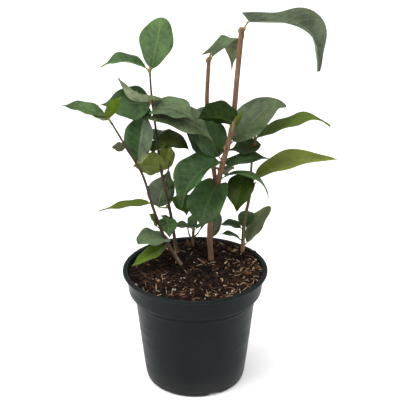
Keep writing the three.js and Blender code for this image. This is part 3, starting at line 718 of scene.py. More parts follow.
def leaf_material(name, blade, vein, roughness, specular, contrast):
    """A leaf's side: blotches of its colour, as strong as the contrast, side veins where the guide passes
    whole numbers, a midrib along its middle, a fine net, a line of the vein's colour at the margin, and
    painted sheen that lightens one half and darkens the other, by a share and on a side drawn at random for
    each leaf."""
    is_upper = name.startswith("leaf_")
    recipe = Recipe(name)
    vector = recipe.add("Attribute", {}, "Vector", attribute_name="blade")
    parts = recipe.add("SeparateXYZ", {0: vector})
    phase, x, shade = parts.node.outputs
    size = recipe.sum("ABSOLUTE", x)
    shifted = recipe.plus(phase, recipe.times(recipe.sum("GREATER_THAN", x, 0.0), 0.45))
    near = recipe.sum("PINGPONG", shifted, 0.5)
    side_vein = recipe.times(recipe.fit(near, 0.0, 0.07, 0.75, 0.0),
                             recipe.fit(size, 0.7, 0.97, 1.0, 0.0))
    midrib = recipe.fit(size, 0.0, 0.07, 1.0, 0.0)
    lines = recipe.sum("MAXIMUM", side_vein, midrib)
    where = recipe.place()
    blotch = recipe.cloud(where, 55.0, 4.0)
    net = recipe.add("TexVoronoi", {"Vector": where, "Scale": 620.0}, "Distance", feature="DISTANCE_TO_EDGE")
    net = recipe.fit(net, 0.0, 0.12, 1.0, 0.0)
    dark = toned(blade, 1 - 0.45 * contrast)
    light = toned(blade, 1 + 0.5 * contrast, 0.004 * contrast)
    mottle = recipe.cloud(where, 240.0, 3.0, 0.6)
    mixed = recipe.plus(recipe.times(blotch, 0.65), recipe.times(mottle, 0.35))
    body = recipe.blend(recipe.fit(mixed, 0.34, 0.66, 0.0, 1.0), dark, light)
    body = recipe.blend(recipe.times(net, 0.16), body, vein)
    body = recipe.blend(recipe.times(lines, 0.62 if is_upper else 0.5), body, vein)
    body = recipe.blend(recipe.fit(size, 0.955, 0.995, 0.0, 0.45), body, vein)
    # Painted sheen: one half of the blade lighter and the other darker, by a random share for each leaf.
    painted_sheen_sides = recipe.times(recipe.fit(x, -0.12, 0.12, -0.28, 0.28), recipe.sum("SUBTRACT", shade, 0.5))
    value = recipe.plus(recipe.fit(shade, 0.0, 1.0, 0.86, 1.14), painted_sheen_sides)
    hue = recipe.fit(shade, 0.0, 1.0, 0.488, 0.51)
    tone = recipe.add("HueSaturation", {"Hue": hue, "Color": body, "Value": value})
    fine = recipe.cloud(where, 900.0, 2.0)
    rough = recipe.plus(recipe.fit(blotch, 0.25, 0.75, roughness - 0.05, roughness + 0.07),
                       recipe.times(lines, 0.12))
    sunk = recipe.times(lines, -0.8 if is_upper else 0.9)
    rise = recipe.plus(recipe.times(net, -0.25 if is_upper else 0.3), recipe.times(fine, 0.3))
    height = recipe.plus(sunk, rise)
    return recipe.finish(tone, rough, height, 0.00022, 0.6, specular)


def bark_material(name, young, old, dark, depth, foot=None):
    """Bark along the stem: long streaks of three colours, pale lenticels and cracks, all on the guide of
    the straightened stem, and dry pale bark at the foot where a colour for it is given."""
    recipe = Recipe(name)
    streak = recipe.cloud(recipe.place((1.0, 1.0, 0.12), "grain"), 900.0, 5.0, 0.62)
    patch = recipe.cloud(recipe.place((1.0, 1.0, 0.4), "grain"), 190.0, 3.0)
    body = recipe.blend(recipe.fit(patch, 0.35, 0.65, 0.0, 1.0), young, old)
    body = recipe.blend(recipe.fit(streak, 0.42, 0.7, 0.0, 0.8), body, dark)
    where = recipe.place((1.0, 1.0, 1.6), "grain")
    spot = recipe.add("TexVoronoi", {"Vector": where, "Scale": 420.0}, "Distance")
    spot = recipe.fit(spot, 0.12, 0.24, 1.0, 0.0)
    body = recipe.blend(recipe.times(spot, 0.5), body, toned(young, 1.9, 0.03))
    if foot is not None:
        low = recipe.fit(recipe.altitude(), 0.122, 0.165, 0.85, 0.0)
        dry = recipe.times(low, recipe.fit(patch, 0.3, 0.6, 1.0, 0.5))
        body = recipe.blend(dry, body, foot)
    rough = recipe.fit(streak, 0.3, 0.7, 0.62, 0.86)
    height = recipe.plus(recipe.times(streak, -1.0), recipe.times(spot, 0.5))
    return recipe.finish(body, rough, height, depth, 0.8, 0.3)


def cut_material(colour, ring):
    """A pruning cut: pale wood with darker growth rings round its pith and a dry grey stain."""
    recipe = Recipe("cut_wood")
    where = recipe.place((1.0, 1.0, 0.0), "grain")
    band = recipe.add("TexWave", {"Vector": where, "Scale": 260.0, "Distortion": 1.5, "Detail": 2.0}, "Fac",
                      wave_type="RINGS", rings_direction="Z")
    stain = recipe.cloud(where, 700.0)
    body = recipe.blend(recipe.times(band, 0.6), colour, ring)
    body = recipe.blend(recipe.fit(stain, 0.5, 0.75, 0.0, 0.5), body, (0.09, 0.07, 0.055))
    rough = recipe.fit(stain, 0.2, 0.8, 0.7, 0.9)
    return recipe.finish(body, rough, band, 0.0001, 0.6, 0.25)


def plastic_material(colour, roughness):
    """Moulded nursery plastic: a faint grain, cloudy scuffs and thin rub marks round the wall, and a dusty
    tide near the ground."""
    recipe = Recipe("pot_plastic")
    where = recipe.place()
    broad = recipe.cloud(where, 14.0, 4.0)
    scuff = recipe.cloud(recipe.place((1.0, 1.0, 6.0)), 30.0, 6.0, 0.7)
    grain = recipe.cloud(where, 1500.0, 2.0)
    dust = recipe.times(recipe.fit(recipe.altitude(), 0.001, 0.03, 1.0, 0.0), broad)
    body = recipe.blend(recipe.fit(broad, 0.35, 0.7, 0.0, 0.6), colour, toned(colour, 1.5, 0.002))
    body = recipe.blend(recipe.fit(scuff, 0.58, 0.8, 0.0, 0.3), body, toned(colour, 2, 0.006))
    body = recipe.blend(recipe.times(dust, 0.35), body, (0.07, 0.06, 0.05))
    rough = recipe.plus(recipe.fit(scuff, 0.35, 0.75, roughness - 0.05, roughness + 0.12),
                       recipe.times(grain, 0.05))
    bumps = recipe.plus(grain, recipe.times(scuff, 1.5))
    return recipe.finish(body, rough, bumps, 0.00006, 0.5, 0.07)


def peat_material(colour, lighter):
    """Damp peat: dark crumbs with redder and greyer ones among them, and a fine rough grain."""
    recipe = Recipe("peat")
    where = recipe.place()
    crumbs = recipe.cloud(where, 260.0, 6.0, 0.7)
    tint = recipe.add("TexVoronoi", {"Vector": where, "Scale": 330.0}, "Color")
    tint = recipe.add("SeparateColor", {0: tint})
    body = recipe.blend(recipe.fit(crumbs, 0.4, 0.75, 0.0, 1.0), colour, lighter)
    body = recipe.blend(recipe.fit(tint, 0.72, 0.98, 0.0, 0.55), body, (0.07, 0.028, 0.012))
    fine = recipe.cloud(where, 1400.0, 4.0, 0.75)
    height = recipe.plus(crumbs, recipe.times(fine, 0.6))
    rough = recipe.fit(fine, 0.3, 0.7, 0.75, 0.98)
    return recipe.finish(body, rough, height, 0.0009, 0.9, 0.12)


def litter_material(name, colour, darker, roughness=0.85):
    """A chip, fibre or grain of the potting mix: two shades in streaks, with a rough skin."""
    recipe = Recipe(name)
    streak = recipe.cloud(recipe.place(), 420.0, 4.0, 0.65)
    body = recipe.blend(recipe.fit(streak, 0.38, 0.66, 0.0, 1.0), colour, darker)
    rough = recipe.fit(streak, 0.2, 0.8, roughness - 0.1, roughness + 0.08)
    return recipe.finish(body, rough, streak, 0.0004, 0.7, 0.15)


def floor_material(colour):
    """The studio floor: pale and matt, with the faintest cloud."""
    recipe = Recipe("studio_floor")
    cloud = recipe.cloud(recipe.place(), 1.5, 2.0)
    body = recipe.blend(cloud, colour, toned(colour, 0.985))
    rough = recipe.fit(cloud, 0.3, 0.7, 0.85, 0.95)
    return recipe.finish(body, rough, cloud, 0.0002, 0.1, 0.1)


# ---- Settings -------------------------------------------------------------------------------

def colour_setting(name, description, default):
    """A colour with three channels from 0 to 1."""
    return FloatVectorProperty(name=name, description=description, default=default, size=3, min=0, max=1,
                               subtype="COLOR")


def length_setting(name, description, default):
    """A length in metres."""
    return FloatProperty(name=name, description=description, default=default, min=0, unit="LENGTH",
                         subtype="DISTANCE", precision=5)


class CamelliaPotSettings(PropertyGroup):
    """What a user would change on the pot and its soil."""

    colour: colour_setting("Pot colour", "Colour of the moulded plastic", (0.0052, 0.0078, 0.0082))
    roughness: FloatProperty(name="Pot roughness", description="How matt the plastic is", default=0.34,
                             min=0, max=1)
    segments: IntProperty(name="Pot segments", description="Faces round the pot", default=320, min=60,
                          max=720)
    peat: colour_setting("Peat colour", "Colour of damp peat", (0.0028, 0.0015, 0.0011))
    peat_light: colour_setting("Dry peat colour", "Colour of drier crumbs", (0.015, 0.0072, 0.0048))
    chips: IntProperty(name="Chips", description="Wood chips on the soil", default=420, min=0, max=2000)
    fibres: IntProperty(name="Fibres", description="Straw fibres on the soil", default=330, min=0, max=2000)
    crumbs: IntProperty(name="Crumbs", description="Loose crumbs of peat", default=900, min=0, max=4000)
    grains: IntProperty(name="Grains", description="White perlite grains", default=22, min=0, max=400)


class CamelliaPlantSettings(PropertyGroup):
    """What a user would change on the leaves and the bark."""

    thickness: length_setting("Leaf thickness", "Thickness of a blade at its middle", 0.00048)
    tooth_pitch: length_setting("Tooth pitch", "Distance between teeth along the margin", 0.0024)
    tooth_depth: length_setting("Tooth depth", "How far a tooth stands out", 0.00028)
    ripple: FloatProperty(name="Ripple", description="Undulation of the margin over the width", default=0.035,
                          min=0, max=0.3)
    leaf_deep: colour_setting("Old leaf", "Upper side of an old leaf", (0.019, 0.042, 0.01))
    leaf_smooth: colour_setting("Full leaf", "Upper side of a full-grown leaf", (0.034, 0.07, 0.017))
    leaf_fresh: colour_setting("Fresh leaf", "Upper side of a fresh leaf", (0.05, 0.082, 0.004))
    # Painted sheen: a grey-green upper side lightened to stand in for the soft sheen it shows.
    leaf_grey: colour_setting("Dulled leaf", "Upper side of a dulled leaf", (0.052, 0.078, 0.032))
    # Painted sheen: the upper side lightened and greyed to stand in for its sheen.
    leaf_sheen: colour_setting("Silvery leaf", "Upper side of a silvery leaf", (0.05, 0.072, 0.035))
    leaf_pale: colour_setting("Pale leaf", "Upper side of a leaf turned to the light", (0.108, 0.13, 0.052))
    leaf_olive: colour_setting("Olive leaf", "Upper side of a leaf in shade", (0.02, 0.038, 0.001))
    # Painted light: a bright yellow-green that stands in for light shining through the blade.
    leaf_sunny: colour_setting("Sunny leaf", "Upper side of a yellowish leaf", (0.13, 0.175, 0.022))
    leaf_young: colour_setting("Youngest leaf", "Upper side of the youngest leaf", (0.06, 0.064, 0.03))
    under_pale: colour_setting("Pale underside", "Under side of an old leaf", (0.105, 0.125, 0.058))
    under_fresh: colour_setting("Fresh underside", "Under side of a fresh leaf", (0.098, 0.132, 0.024))
    # Painted sheen: the pale underside lightened to stand in for the light it catches.
    under_silver: colour_setting("Silvery underside", "Under side of a turned leaf", (0.2, 0.25, 0.13))
    # Painted light: a bright yellow-green that stands in for light shining through the blade from behind.
    under_lit: colour_setting("Bright underside", "Under side of a thin leaf", (0.066, 0.104, 0.002))
    under_dusk: colour_setting("Dark underside", "Under side of a shaded leaf", (0.007, 0.017, 0.0003))
    bark: colour_setting("Bark", "Bark of the trunk and boughs", (0.185, 0.095, 0.046))
    cane: colour_setting("Cane bark", "Bark of the thin canes", (0.062, 0.033, 0.018))


class CamelliaStageSettings(PropertyGroup):
    """The camera and the light."""

    elevation: FloatProperty(name="Elevation", description="Height angle of the camera",
                             default=math.radians(24), subtype="ANGLE", unit="ROTATION")
    distance: length_setting("Camera distance", "From the camera to the point it looks at", 1.2)
    lens: FloatProperty(name="Lens", description="Focal length", default=107.28, min=1, unit="CAMERA")
    key_power: FloatProperty(name="Key light", description="Power of the large soft light", default=11.0,
                             min=0, unit="POWER")
    fill_power: FloatProperty(name="Fill light", description="Power of the soft light across",
                              default=13.0, min=0, unit="POWER")
    even: FloatProperty(name="Even light", description="Strength of the wide light from above",
                        default=2.5, min=0)
    sky: FloatProperty(name="Surrounding light", description="Strength of the plain light all round",
                       default=0.62, min=0)
    floor: colour_setting("Floor", "Colour of the studio floor", (0.9, 0.9, 0.9))


# ---- Pieces ---------------------------------------------------------------------------------

def dress(piece, slot, *nodes):
    """The piece rides on the plant's only body and stands for CAD nodes. The slot is not used."""
    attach(piece, "root")
    if nodes:
        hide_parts(*nodes)


def softened(corners):
    """A profile with rounded corners. Each corner is (radius, height, rounding); a rounded one becomes
    five points of a curve of the second degree between the places that far before and after it."""
    place = np.array([c[:2] for c in corners], float)
    profile = []
    for i, (*_, rounding) in enumerate(corners):
        if rounding == 0:
            profile.append(place[i])
            continue
        before, after = place[i - 1] - place[i], place[i + 1] - place[i]
        first = place[i] + unit(before) * min(rounding, 0.45 * np.linalg.norm(before))
        last = place[i] + unit(after) * min(rounding, 0.45 * np.linalg.norm(after))
        t = np.linspace(0, 1, 5)[:, None]
        profile.extend((1 - t) ** 2 * first + 2 * t * (1 - t) * place[i] + t**2 * last)
    return np.array(profile)


def inner_wall(z):
    """The inner radius of the pot's wall at a height."""
    share = z / POT.band_bottom
    return POT.foot_radius + (POT.wall_top_radius - POT.foot_radius) * share - POT.wall


def pot_rings(segments):
    """The pot as rings of points: the profile turned round the axis. Near each drain arch the points of
    the foot rise to the arch, which is its height times one less the fourth power of the distance from
    its middle, and a small moulding nub raises the rim."""
    floor_top = POT.under_raise + POT.floor
    foot, wall, lip, rim = POT.foot_radius, POT.wall_top_radius, POT.lip_radius, POT.height
    low, out, top = POT.band_bottom, POT.band_bottom_radius, POT.band_top_radius
    profile = softened([
        (2, 0.2, 0), (POT.channel_inner - 1, 0, 0.6), (POT.channel_inner, POT.under_raise, 0.8),
        (POT.channel_outer, POT.under_raise, 0.8), (POT.channel_outer + 0.4, 0, 0.5), (foot - 3.2, 0, 1.2),
        (foot - 1.1, 2.2, 1.6), (foot - 0.3, 6.6, 0.3), (foot + 0.15, 7.2, 0.3), (foot + 2.6, 27, 0),
        (foot + 5.7, 55, 0), (foot + 8.8, 84, 0), (wall - 0.7, 93.4, 0.4), (wall - 0.3, 94.2, 0.4),
        (wall, low, 1.0), (out - 0.2, low + 0.4, 1.3), (out + 0.35, low + 2.2, 0.8), (out + 1.2, 111, 0),
        (top, rim - POT.lip_height - 0.6, 1.2), (lip - 0.5, 122.1, 0.7), (lip, 123.3, 0.8),
        (lip - 0.5, rim, 0.9), (top - POT.wall + 0.5, rim - 0.1, 1.2), (top - POT.wall, 122.5, 1.0),
        (out - POT.wall, low + 2, 0.8), (inner_wall(low - 2), low - 2, 0.8),
        (inner_wall(floor_top) - 0.3, floor_top, 1.5), (2, floor_top, 0),
    ])
    turn = full_turn(segments)
    radius = np.broadcast_to(profile[:, :1], (len(profile), segments))
    height = np.broadcast_to(profile[:, 1:], radius.shape).copy()
    notch = np.radians(NOTCH.first) + full_turn(NOTCH.count)
    away = np.abs((turn[:, None] - notch + np.pi) % (2 * np.pi) - np.pi).min(1) * POT.foot_radius
    arch = NOTCH.height * np.clip(1.15 * (1 - (away / (NOTCH.width / 2)) ** 4), 0, 1)
    index = np.arange(len(profile))[:, None]
    is_foot = (radius > POT.channel_outer - 1) & (index < len(profile) / 2) & (height < 7)
    height = np.where(is_foot, np.maximum(height, arch), height)
    nub = np.exp(-(((turn - math.radians(31)) * POT.lip_radius / 1.6) ** 2))
    height = height + nub * 1.1 * ramp(height, 122, 124) * (radius > POT.band_top_radius)
    return np.stack([radius * np.cos(turn), radius * np.sin(turn), height], -1) * MM


def peat_height(x, y):
    """The soil's surface in millimetres: a level that leans to the right, falls to the wall, and carries
    slow waves and lumps of three sizes."""
    r = np.hypot(x, y)
    level = 119.6 + 0.012 * x + 0.02 * y - (1.6 - 0.012 * x - 0.03 * y) * ramp(r, 52, 69.5)
    level = level + 2.6 * (rolling(x, y, 19, 3) - 0.5) + 1.6 * (rolling(x, y, 8, 5) - 0.5)
    lumps = 2.3 * crumb(x, y, 8.5, 11) * ramp(rolling(x, y, 14, 9), 0.35, 0.7)
    return level + lumps + 1.5 * crumb(x, y, 4.2, 21) + 0.75 * crumb(x + 31, y, 2.1, 31)


class CamelliaPot(Operator):
    """Turn the pot's profile round its axis"""

    bl_idname = "camellia.pot"
    bl_label = "Pot"

    def execute(self, context):
        kit = context.scene.camellia_pot
        shell = Gather()
        shell.add_rings(pot_rings(kit.segments))
        piece = shell.build("nursery_pot", [plastic_material(kit.colour, kit.roughness)])
        dress(piece, "pot_plastic", "pot")
        return {"FINISHED"}


class CamelliaPeat(Operator):
    """Fill the pot with peat and give it a crumbly surface"""

    bl_idname = "camellia.peat"
    bl_label = "Peat"

    def execute(self, context):
        kit = context.scene.camellia_pot
        turn = full_turn(PEAT_AROUND)
        floor_top = POT.under_raise + POT.floor + 0.4
        wall = [(2, floor_top), (inner_wall(floor_top) - 1.2, floor_top), (inner_wall(98) - 0.4, 98.5),
                (POT.band_bottom_radius - POT.wall - 0.5, 104)]
        surface = np.linspace(POT.band_bottom_radius - POT.wall + 2.0, 0.8, PEAT_RINGS)
        radius = np.concatenate([[r for r, _ in wall], surface])[:, None] * np.ones(PEAT_AROUND)
        x, y = radius * np.cos(turn), radius * np.sin(turn)
        height = peat_height(x, y)
        height[: len(wall)] = np.array([z for _, z in wall])[:, None]
        bed = Gather()
        bed.add_rings(np.stack([x, y, height], -1) * MM)
        piece = bed.build("peat_bed", [peat_material(kit.peat, kit.peat_light)])
        dress(piece, "peat", "soil")
        return {"FINISHED"}


def small_shape(rows, around, profile, ends):
    """A small closed shape about its own middle: rings along X whose radii are the profile's."""
    turn = full_turn(around)
    along = np.linspace(-0.5, 0.5, rows)[:, None] * np.ones(around)
    r = np.asarray(profile)[:, None]
    rings = np.stack([along, r * np.cos(turn), r * np.sin(turn)], -1)
    points, quads, foot, head = ring_skin(rings, [[-ends, 0, 0], [ends, 0, 0]])
    return points, quads.reshape(-1, 4), np.concatenate([foot, head])


def strew(gather, shape, chance, x, y, lift, sizes, tilt, bend, rough, slot):
    """Copies of a small shape over the soil: each point is jittered, bowed by bend times the square of
    its place along, scaled by the copy's three sizes, turned, and set on the soil's height plus lift."""
    points, quads, triangles = shape
    count = len(x)
    own = points[None] + chance.normal(0, rough, (count, *points.shape))
    own[..., 2] += bend[:, None] * (own[..., 0] ** 2 - 0.08)
    own = own * sizes[:, None, :]
    turns = turning(chance.uniform(0, 2 * np.pi, count), *chance.normal(0, tilt, (2, count)))
    spots = np.stack([x, y, peat_height(x, y) + lift], -1)
    placed = np.einsum("nij,nkj->nki", turns, own) + spots[:, None]
    first = (np.arange(count) * len(points))[:, None, None]
    faces = [(quads[None] + first).reshape(-1, 4), (triangles[None] + first).reshape(-1, 3)]
    slot = np.broadcast_to(slot, count)
    number = [np.repeat(slot, len(quads)), np.repeat(slot, len(triangles))]
    gather.add(placed.reshape(-1, 3) * MM, faces, number, flat=rough > 0.05)


def spread(chance, count, heaps):
    """Places on the soil: a share lies evenly over the disc, and the rest in heaps round given middles."""
    even = chance.random(count) < 0.42
    r, t = 66 * np.sqrt(chance.random(count)), chance.uniform(0, 2 * np.pi, count)
    heap = np.asarray(heaps, float)[chance.integers(0, len(heaps), count)]
    x = np.where(even, r * np.cos(t), heap[:, 0] + chance.normal(0, 12, count))
    y = np.where(even, r * np.sin(t), heap[:, 1] + chance.normal(0, 8, count))
    far = np.maximum(np.hypot(x, y) / 66, 1)
    return x / far, y / far


def own_sizes(chance, count, *ranges):
    """Three sizes for each copy, each drawn between its own two ends."""
    return np.stack([chance.uniform(low, high, count) for low, high in ranges], -1)


def round_sizes(chance, count, least, most, widest):
    """One size for each copy, times a share of its own along each axis."""
    return chance.uniform(least, most, (count, 1)) * chance.uniform(0.7, widest, (count, 3))


class CamelliaLitter(Operator):
    """Strew crumbs, chips, fibres and perlite over the peat"""

    bl_idname = "camellia.litter"
    bl_label = "Chips and fibres"

    def execute(self, context):
        kit = context.scene.camellia_pot
        chance = np.random.default_rng(7)
        lump = small_shape(4, 6, [0.3, 0.5, 0.48, 0.28], 0.62)
        chip = small_shape(3, 5, [0.34, 0.5, 0.3], 0.55)
        fibre = small_shape(5, 4, [0.3, 0.5, 0.5, 0.45, 0.2], 0.56)

        x, y = spread(chance, kit.crumbs, [(0, 0), (-30, 20), (30, 30), (0, -40)])
        size = round_sizes(chance, kit.crumbs, 1.4, 4.6, 1.1)
        crumbs = Gather()
        strew(crumbs, lump, chance, x, y, 0.3, size, 1.2, np.zeros(kit.crumbs), 0.07, 0)
        dress(crumbs.build("peat_crumbs", [peat_material(kit.peat, kit.peat_light)]), "peat")

        chosen = chance.choice(len(CHIPS), kit.chips, p=[share for *_, share in CHIPS.values()])
        x, y = spread(chance, kit.chips, HEAPS)
        size = own_sizes(chance, kit.chips, (2.4, 6.5), (1.1, 2.8), (0.5, 1.3))
        size[chosen == 0] *= 1.25
        bits = Gather()
        strew(bits, chip, chance, x, y, 0.9, size, 0.4, np.zeros(kit.chips), 0.06, chosen)
        materials = [litter_material(name, *shades) for name, (*shades, _) in CHIPS.items()]
        dress(bits.build("wood_chips", materials), "peat")

        x, y = spread(chance, kit.fibres, HEAPS)
        chosen = chance.choice(len(FIBRES), kit.fibres, p=[share for *_, share in FIBRES.values()])
        size = own_sizes(chance, kit.fibres, (3.5, 11), (0.4, 0.95), (0.35, 0.7))
        bow = chance.normal(0, 3.2, kit.fibres)
        straw = Gather()
        strew(straw, fibre, chance, x, y, 1.2, size, 0.3, bow, 0.03, chosen)
        materials = [litter_material(name, *shades) for name, (*shades, _) in FIBRES.items()]
        dress(straw.build("straw_fibres", materials), "peat")

        x, y = spread(chance, kit.grains, [(20, -46), (-30, -20), (40, 10)])
        size = round_sizes(chance, kit.grains, 1.0, 2.3, 1.0)
        white = Gather()
        strew(white, lump, chance, x, y, 1.3, size, 1.2, np.zeros(kit.grains), 0.07, 0)
        perlite = litter_material("perlite", (0.4, 0.37, 0.33), (0.27, 0.25, 0.22), 0.9)
        dress(white.build("perlite_grains", [perlite]), "peat")
        return {"FINISHED"}


def bark_relief(stem, run, around, seed):
    """The radii of a limb's skin in millimetres: the stem's, times one plus furrows and faint rings. A furrow
    is a sine round the limb whose phase drifts along it."""
    chance = np.random.default_rng(seed)
    furrows = np.zeros((len(run), around))
    for count, share in FURROWS:
        phase, pace, drift = chance.uniform(0, 6.28), chance.uniform(9, 30), chance.uniform(0.4, 1.2)
        wander = drift * np.sin(run[:, None] / pace + phase)
        furrows += share * np.sin(count * full_turn(around) + phase + wander)
    rings = 0.02 * np.sin(run / 1.9 + 2 * np.sin(run / 11))[:, None]
    return stem.radius(np.maximum(run, 0))[:, None] * (1 + (furrows + rings))


def swell(relief, run, stem, nodes):
    """Adds each leaf's node: a bump of 0.22 of the end's radius on the leaf's side, and a thin ridge."""
    turn = full_turn(relief.shape[1])
    for height, bearing in nodes:
        off = run - stem.run_at(height)
        toward = 0.5 + 0.5 * np.cos(turn - math.radians(bearing))
        bump = np.exp(-((off / 2.2) ** 2))[:, None] * toward**2 * stem.end * 0.22
        ridge = np.exp(-(((off + 1.6) / 0.6) ** 2))[:, None] * stem.end * 0.08
        relief = relief + bump + ridge
    return relief


def limb_skin(gather, name, start, around, step, seed, slot, cut=None):
    """A limb from a length along its stem to the end. Below a length of nothing it runs on straight, and
    its end is flat, with the cut's material, or else rounded."""
    stem = PLANT[name]
    end = stem.run[-1]
    run = np.linspace(start, end, max(8, round((end - start) / step)))
    path = stem.point(np.maximum(run, 0))
    path = path + np.minimum(run, 0)[:, None] * stem.tangent(np.array(1.0))
    relief = swell(bark_relief(stem, run, around, seed), run, stem, nodes_on(name))
    if cut is None:
        relief[-3:] *= np.array([0.85, 0.6, 0.3])[:, None]
    guide = straightened(path * MM, stem.radius(np.maximum(run, 0)) * MM, around)
    rings = rings_along(path * MM, relief * MM, around)
    slots = [slot, slot, slot if cut is None else cut]
    gather.add_rings(rings, slots, guide, [False, False, cut is not None])


def bud_skin(gather, place, axis, length, width, slot):
    """A pointed bud in millimetres: rings along its axis with radius sin(pi t to the power 0.62) to the
    power 0.8, pinched twice where its scales overlap."""
    t = np.linspace(0.02, 0.98, 8)
    radius = width / 2 * np.sin(np.pi * t**0.62) ** 0.8 * (1 - 0.1 * np.cos(t * 15))
    path = place + np.outer(t * length, axis)
    hint = (0.0, 1.0, 0.0) if abs(axis[1]) < 0.8 else (1.0, 0.0, 0.0)
    gather.add_tube(path, radius, 8, slot, hint, np.stack([place, place + axis * length]) * MM)


class CamelliaStems(Operator):
    """Skin the trunk, the two cut boughs, the canes and their twigs with bark"""

    bl_idname = "camellia.stems"
    bl_label = "Trunk, boughs and canes"

    def execute(self, context):
        kit = context.scene.camellia_plant
        bark = bark_material("bark", kit.bark, toned(kit.bark, 0.62), (0.065, 0.03, 0.016), 0.0005)
        wood = cut_material((0.26, 0.17, 0.1), (0.15, 0.085, 0.045))
        cane = bark_material("cane_bark", kit.cane, toned(kit.cane, 0.6), (0.018, 0.011, 0.008), 0.0003,
                             foot=(0.2, 0.125, 0.07))
        olive = bark_material("cane_green", (0.12, 0.095, 0.025), (0.075, 0.055, 0.018),
                              (0.045, 0.027, 0.012), 0.0002, foot=(0.26, 0.15, 0.07))

        wooden = Gather()
        limb_skin(wooden, "trunk", -8, 36, 0.8, 3, 0, cut=1)
        limb_skin(wooden, "bough_left", 0.5, 28, 0.8, 5, 0, cut=1)
        dress(wooden.build("bark_trunk", [bark, wood]), "bark", "trunk", "bough_right", "bough_left")

        thin = Gather()
        for seed, name in enumerate(CANES, 20):
            limb_skin(thin, name, -8, 18, 0.9, seed, 1 if name == "cane_right" else 0)
        for row in TWIGS:
            twig = Stem(**row)
            path = twig.axis[::10]
            share = np.linspace(0, 1, len(path))
            radius = twig.foot + (twig.end - twig.foot) * share
            thin.add_tube(path, radius + 0.25 * np.exp(-(((share - 0.55) / 0.06) ** 2)), 10, 0)
        dress(thin.build("bark_canes", [cane, olive]), "cane_bark", *CANES)
        return {"FINISHED"}


class CamelliaLeaves(Operator):
    """Grow every leaf's blade, joined by the stem that carries it"""

    bl_idname = "camellia.leaves"
    bl_label = "Leaves"

    def execute(self, context):
        kit = context.scene.camellia_plant
        order = list(LEAF_LOOKS)
        materials = [leaf_material(name, getattr(kit, name), *look) for name, look in LEAF_LOOKS.items()]
        middle = len(ACROSS) - 1
        chance = np.random.default_rng(12)
        for name, carriers in SPRAYS.items():
            masses = {mass: row for mass, row in MASSES.items() if row[0] in carriers}
            spray = Gather()
            for row, on, is_clear in ((row, on, c) for on, rows, c in masses.values() for row in rows):
                _, _, base = leaf_stand(row, on, is_clear)
                points, quads, foot, head, guide, is_upper = leaf_skin(row, base, kit, chance.random(3))
                upper, under, *half = (order.index(n) for n in FINISHES[row.finish])
                sides = np.where(is_upper, upper, under)
                # Where a finish has a third colour, one half of the upper takes it: painted sheen on one
                # half, the deep colour on the other.
                if half:
                    sides[:, middle:2 * middle] = half[0]
                slots = [sides.ravel(), under, under]
                spray.add(points * MM, [quads.reshape(-1, 4), foot, head], slots, guide)
            dress(spray.build(name, materials, "blade"), "foliage", *[f"foliage_{mass}" for mass in masses])
        return {"FINISHED"}


class CamelliaStalks(Operator):
    """Join each blade to its stem with a stalk, and set a bud in each leaf's angle and on the tips"""

    bl_idname = "camellia.stalks"
    bl_label = "Stalks and buds"

    def execute(self, context):
        stalks, buds = Gather(), Gather()
        green, brown, scale, tender = (
            bark_material(name, *shades, 0.0001) for name, shades in STALK_LOOKS.items())
        for row, on, is_clear in ((row, on, c) for on, rows, c in MASSES.values() for row in rows):
            node, out, base = leaf_stand(row, on, is_clear)
            _, along, side = leaf_spine(row, base, np.linspace(0, 1, 3))
            path = stalk_path(node, out, base, along[0], row.length)
            t = np.linspace(0, 1, len(path))
            foot = 0.5 * (1 - ramp(t, 0.0, 0.45)) * (row.length > THICK_STALK)
            radius = 0.72 + foot - 0.25 * ramp(t, 0.75, 1)
            radius = radius * (0.75 if row.length < THICK_STALK else 1)
            stalks.add_tube(path, radius, 10, 1 if row.finish in BROWN_STALKED else 0, side[0])
            stem = PLANT[on]
            run = stem.run_at(row.at)
            axis = unit(stem.tangent(run) * 1.2 + out)
            place = node + out * (stem.radius(run) * 0.7) + stem.tangent(run) * 0.6
            bud_skin(buds, place, axis, *((4.2, 1.9) if row.length > LARGE_BUD else (2.6, 1.3)), 0)
        for name, length in TIP_BUDS.items():
            stem = PLANT[name]
            tip = stem.tangent(stem.run[-1])
            bud_skin(buds, stem.axis[-1] - tip * 1.2, tip, length, 2.3, 1)
        for row in TWIGS:
            if row["way"][-1][2] > BUDDED_TWIG:
                end = Stem(**row)
                tip = end.tangent(end.run[-1] - 0.6)
                bud_skin(buds, end.axis[-1] - tip * 0.8, tip, 3.8, 1.8, 0)
        for on, height, bearing in SIDE_BUDS:
            stem = PLANT[on]
            run = stem.run_at(height)
            out = heading(math.radians(bearing), 0.0)
            place = stem.point(run) + out * stem.radius(run) * 0.75
            bud_skin(buds, place, unit(stem.tangent(run) + out * 0.35), 5.2, 2.5, 0)
        dress(stalks.build("leaf_stalks", [green, brown]), "foliage")
        dress(buds.build("leaf_buds", [scale, tender]), "foliage")
        return {"FINISHED"}


def soft_light(name, place, power):
    """A square area light that faces the plant."""
    data = bpy.data.lights.new(name, "AREA")
    data.size, data.energy = LIGHT_WIDTH, power
    light = bpy.data.objects.new(name, data)
    light.location = place
    light.rotation_euler = (AIM - Vector(place)).to_track_quat("-Z", "Y").to_euler()
    bpy.context.scene.collection.objects.link(light)


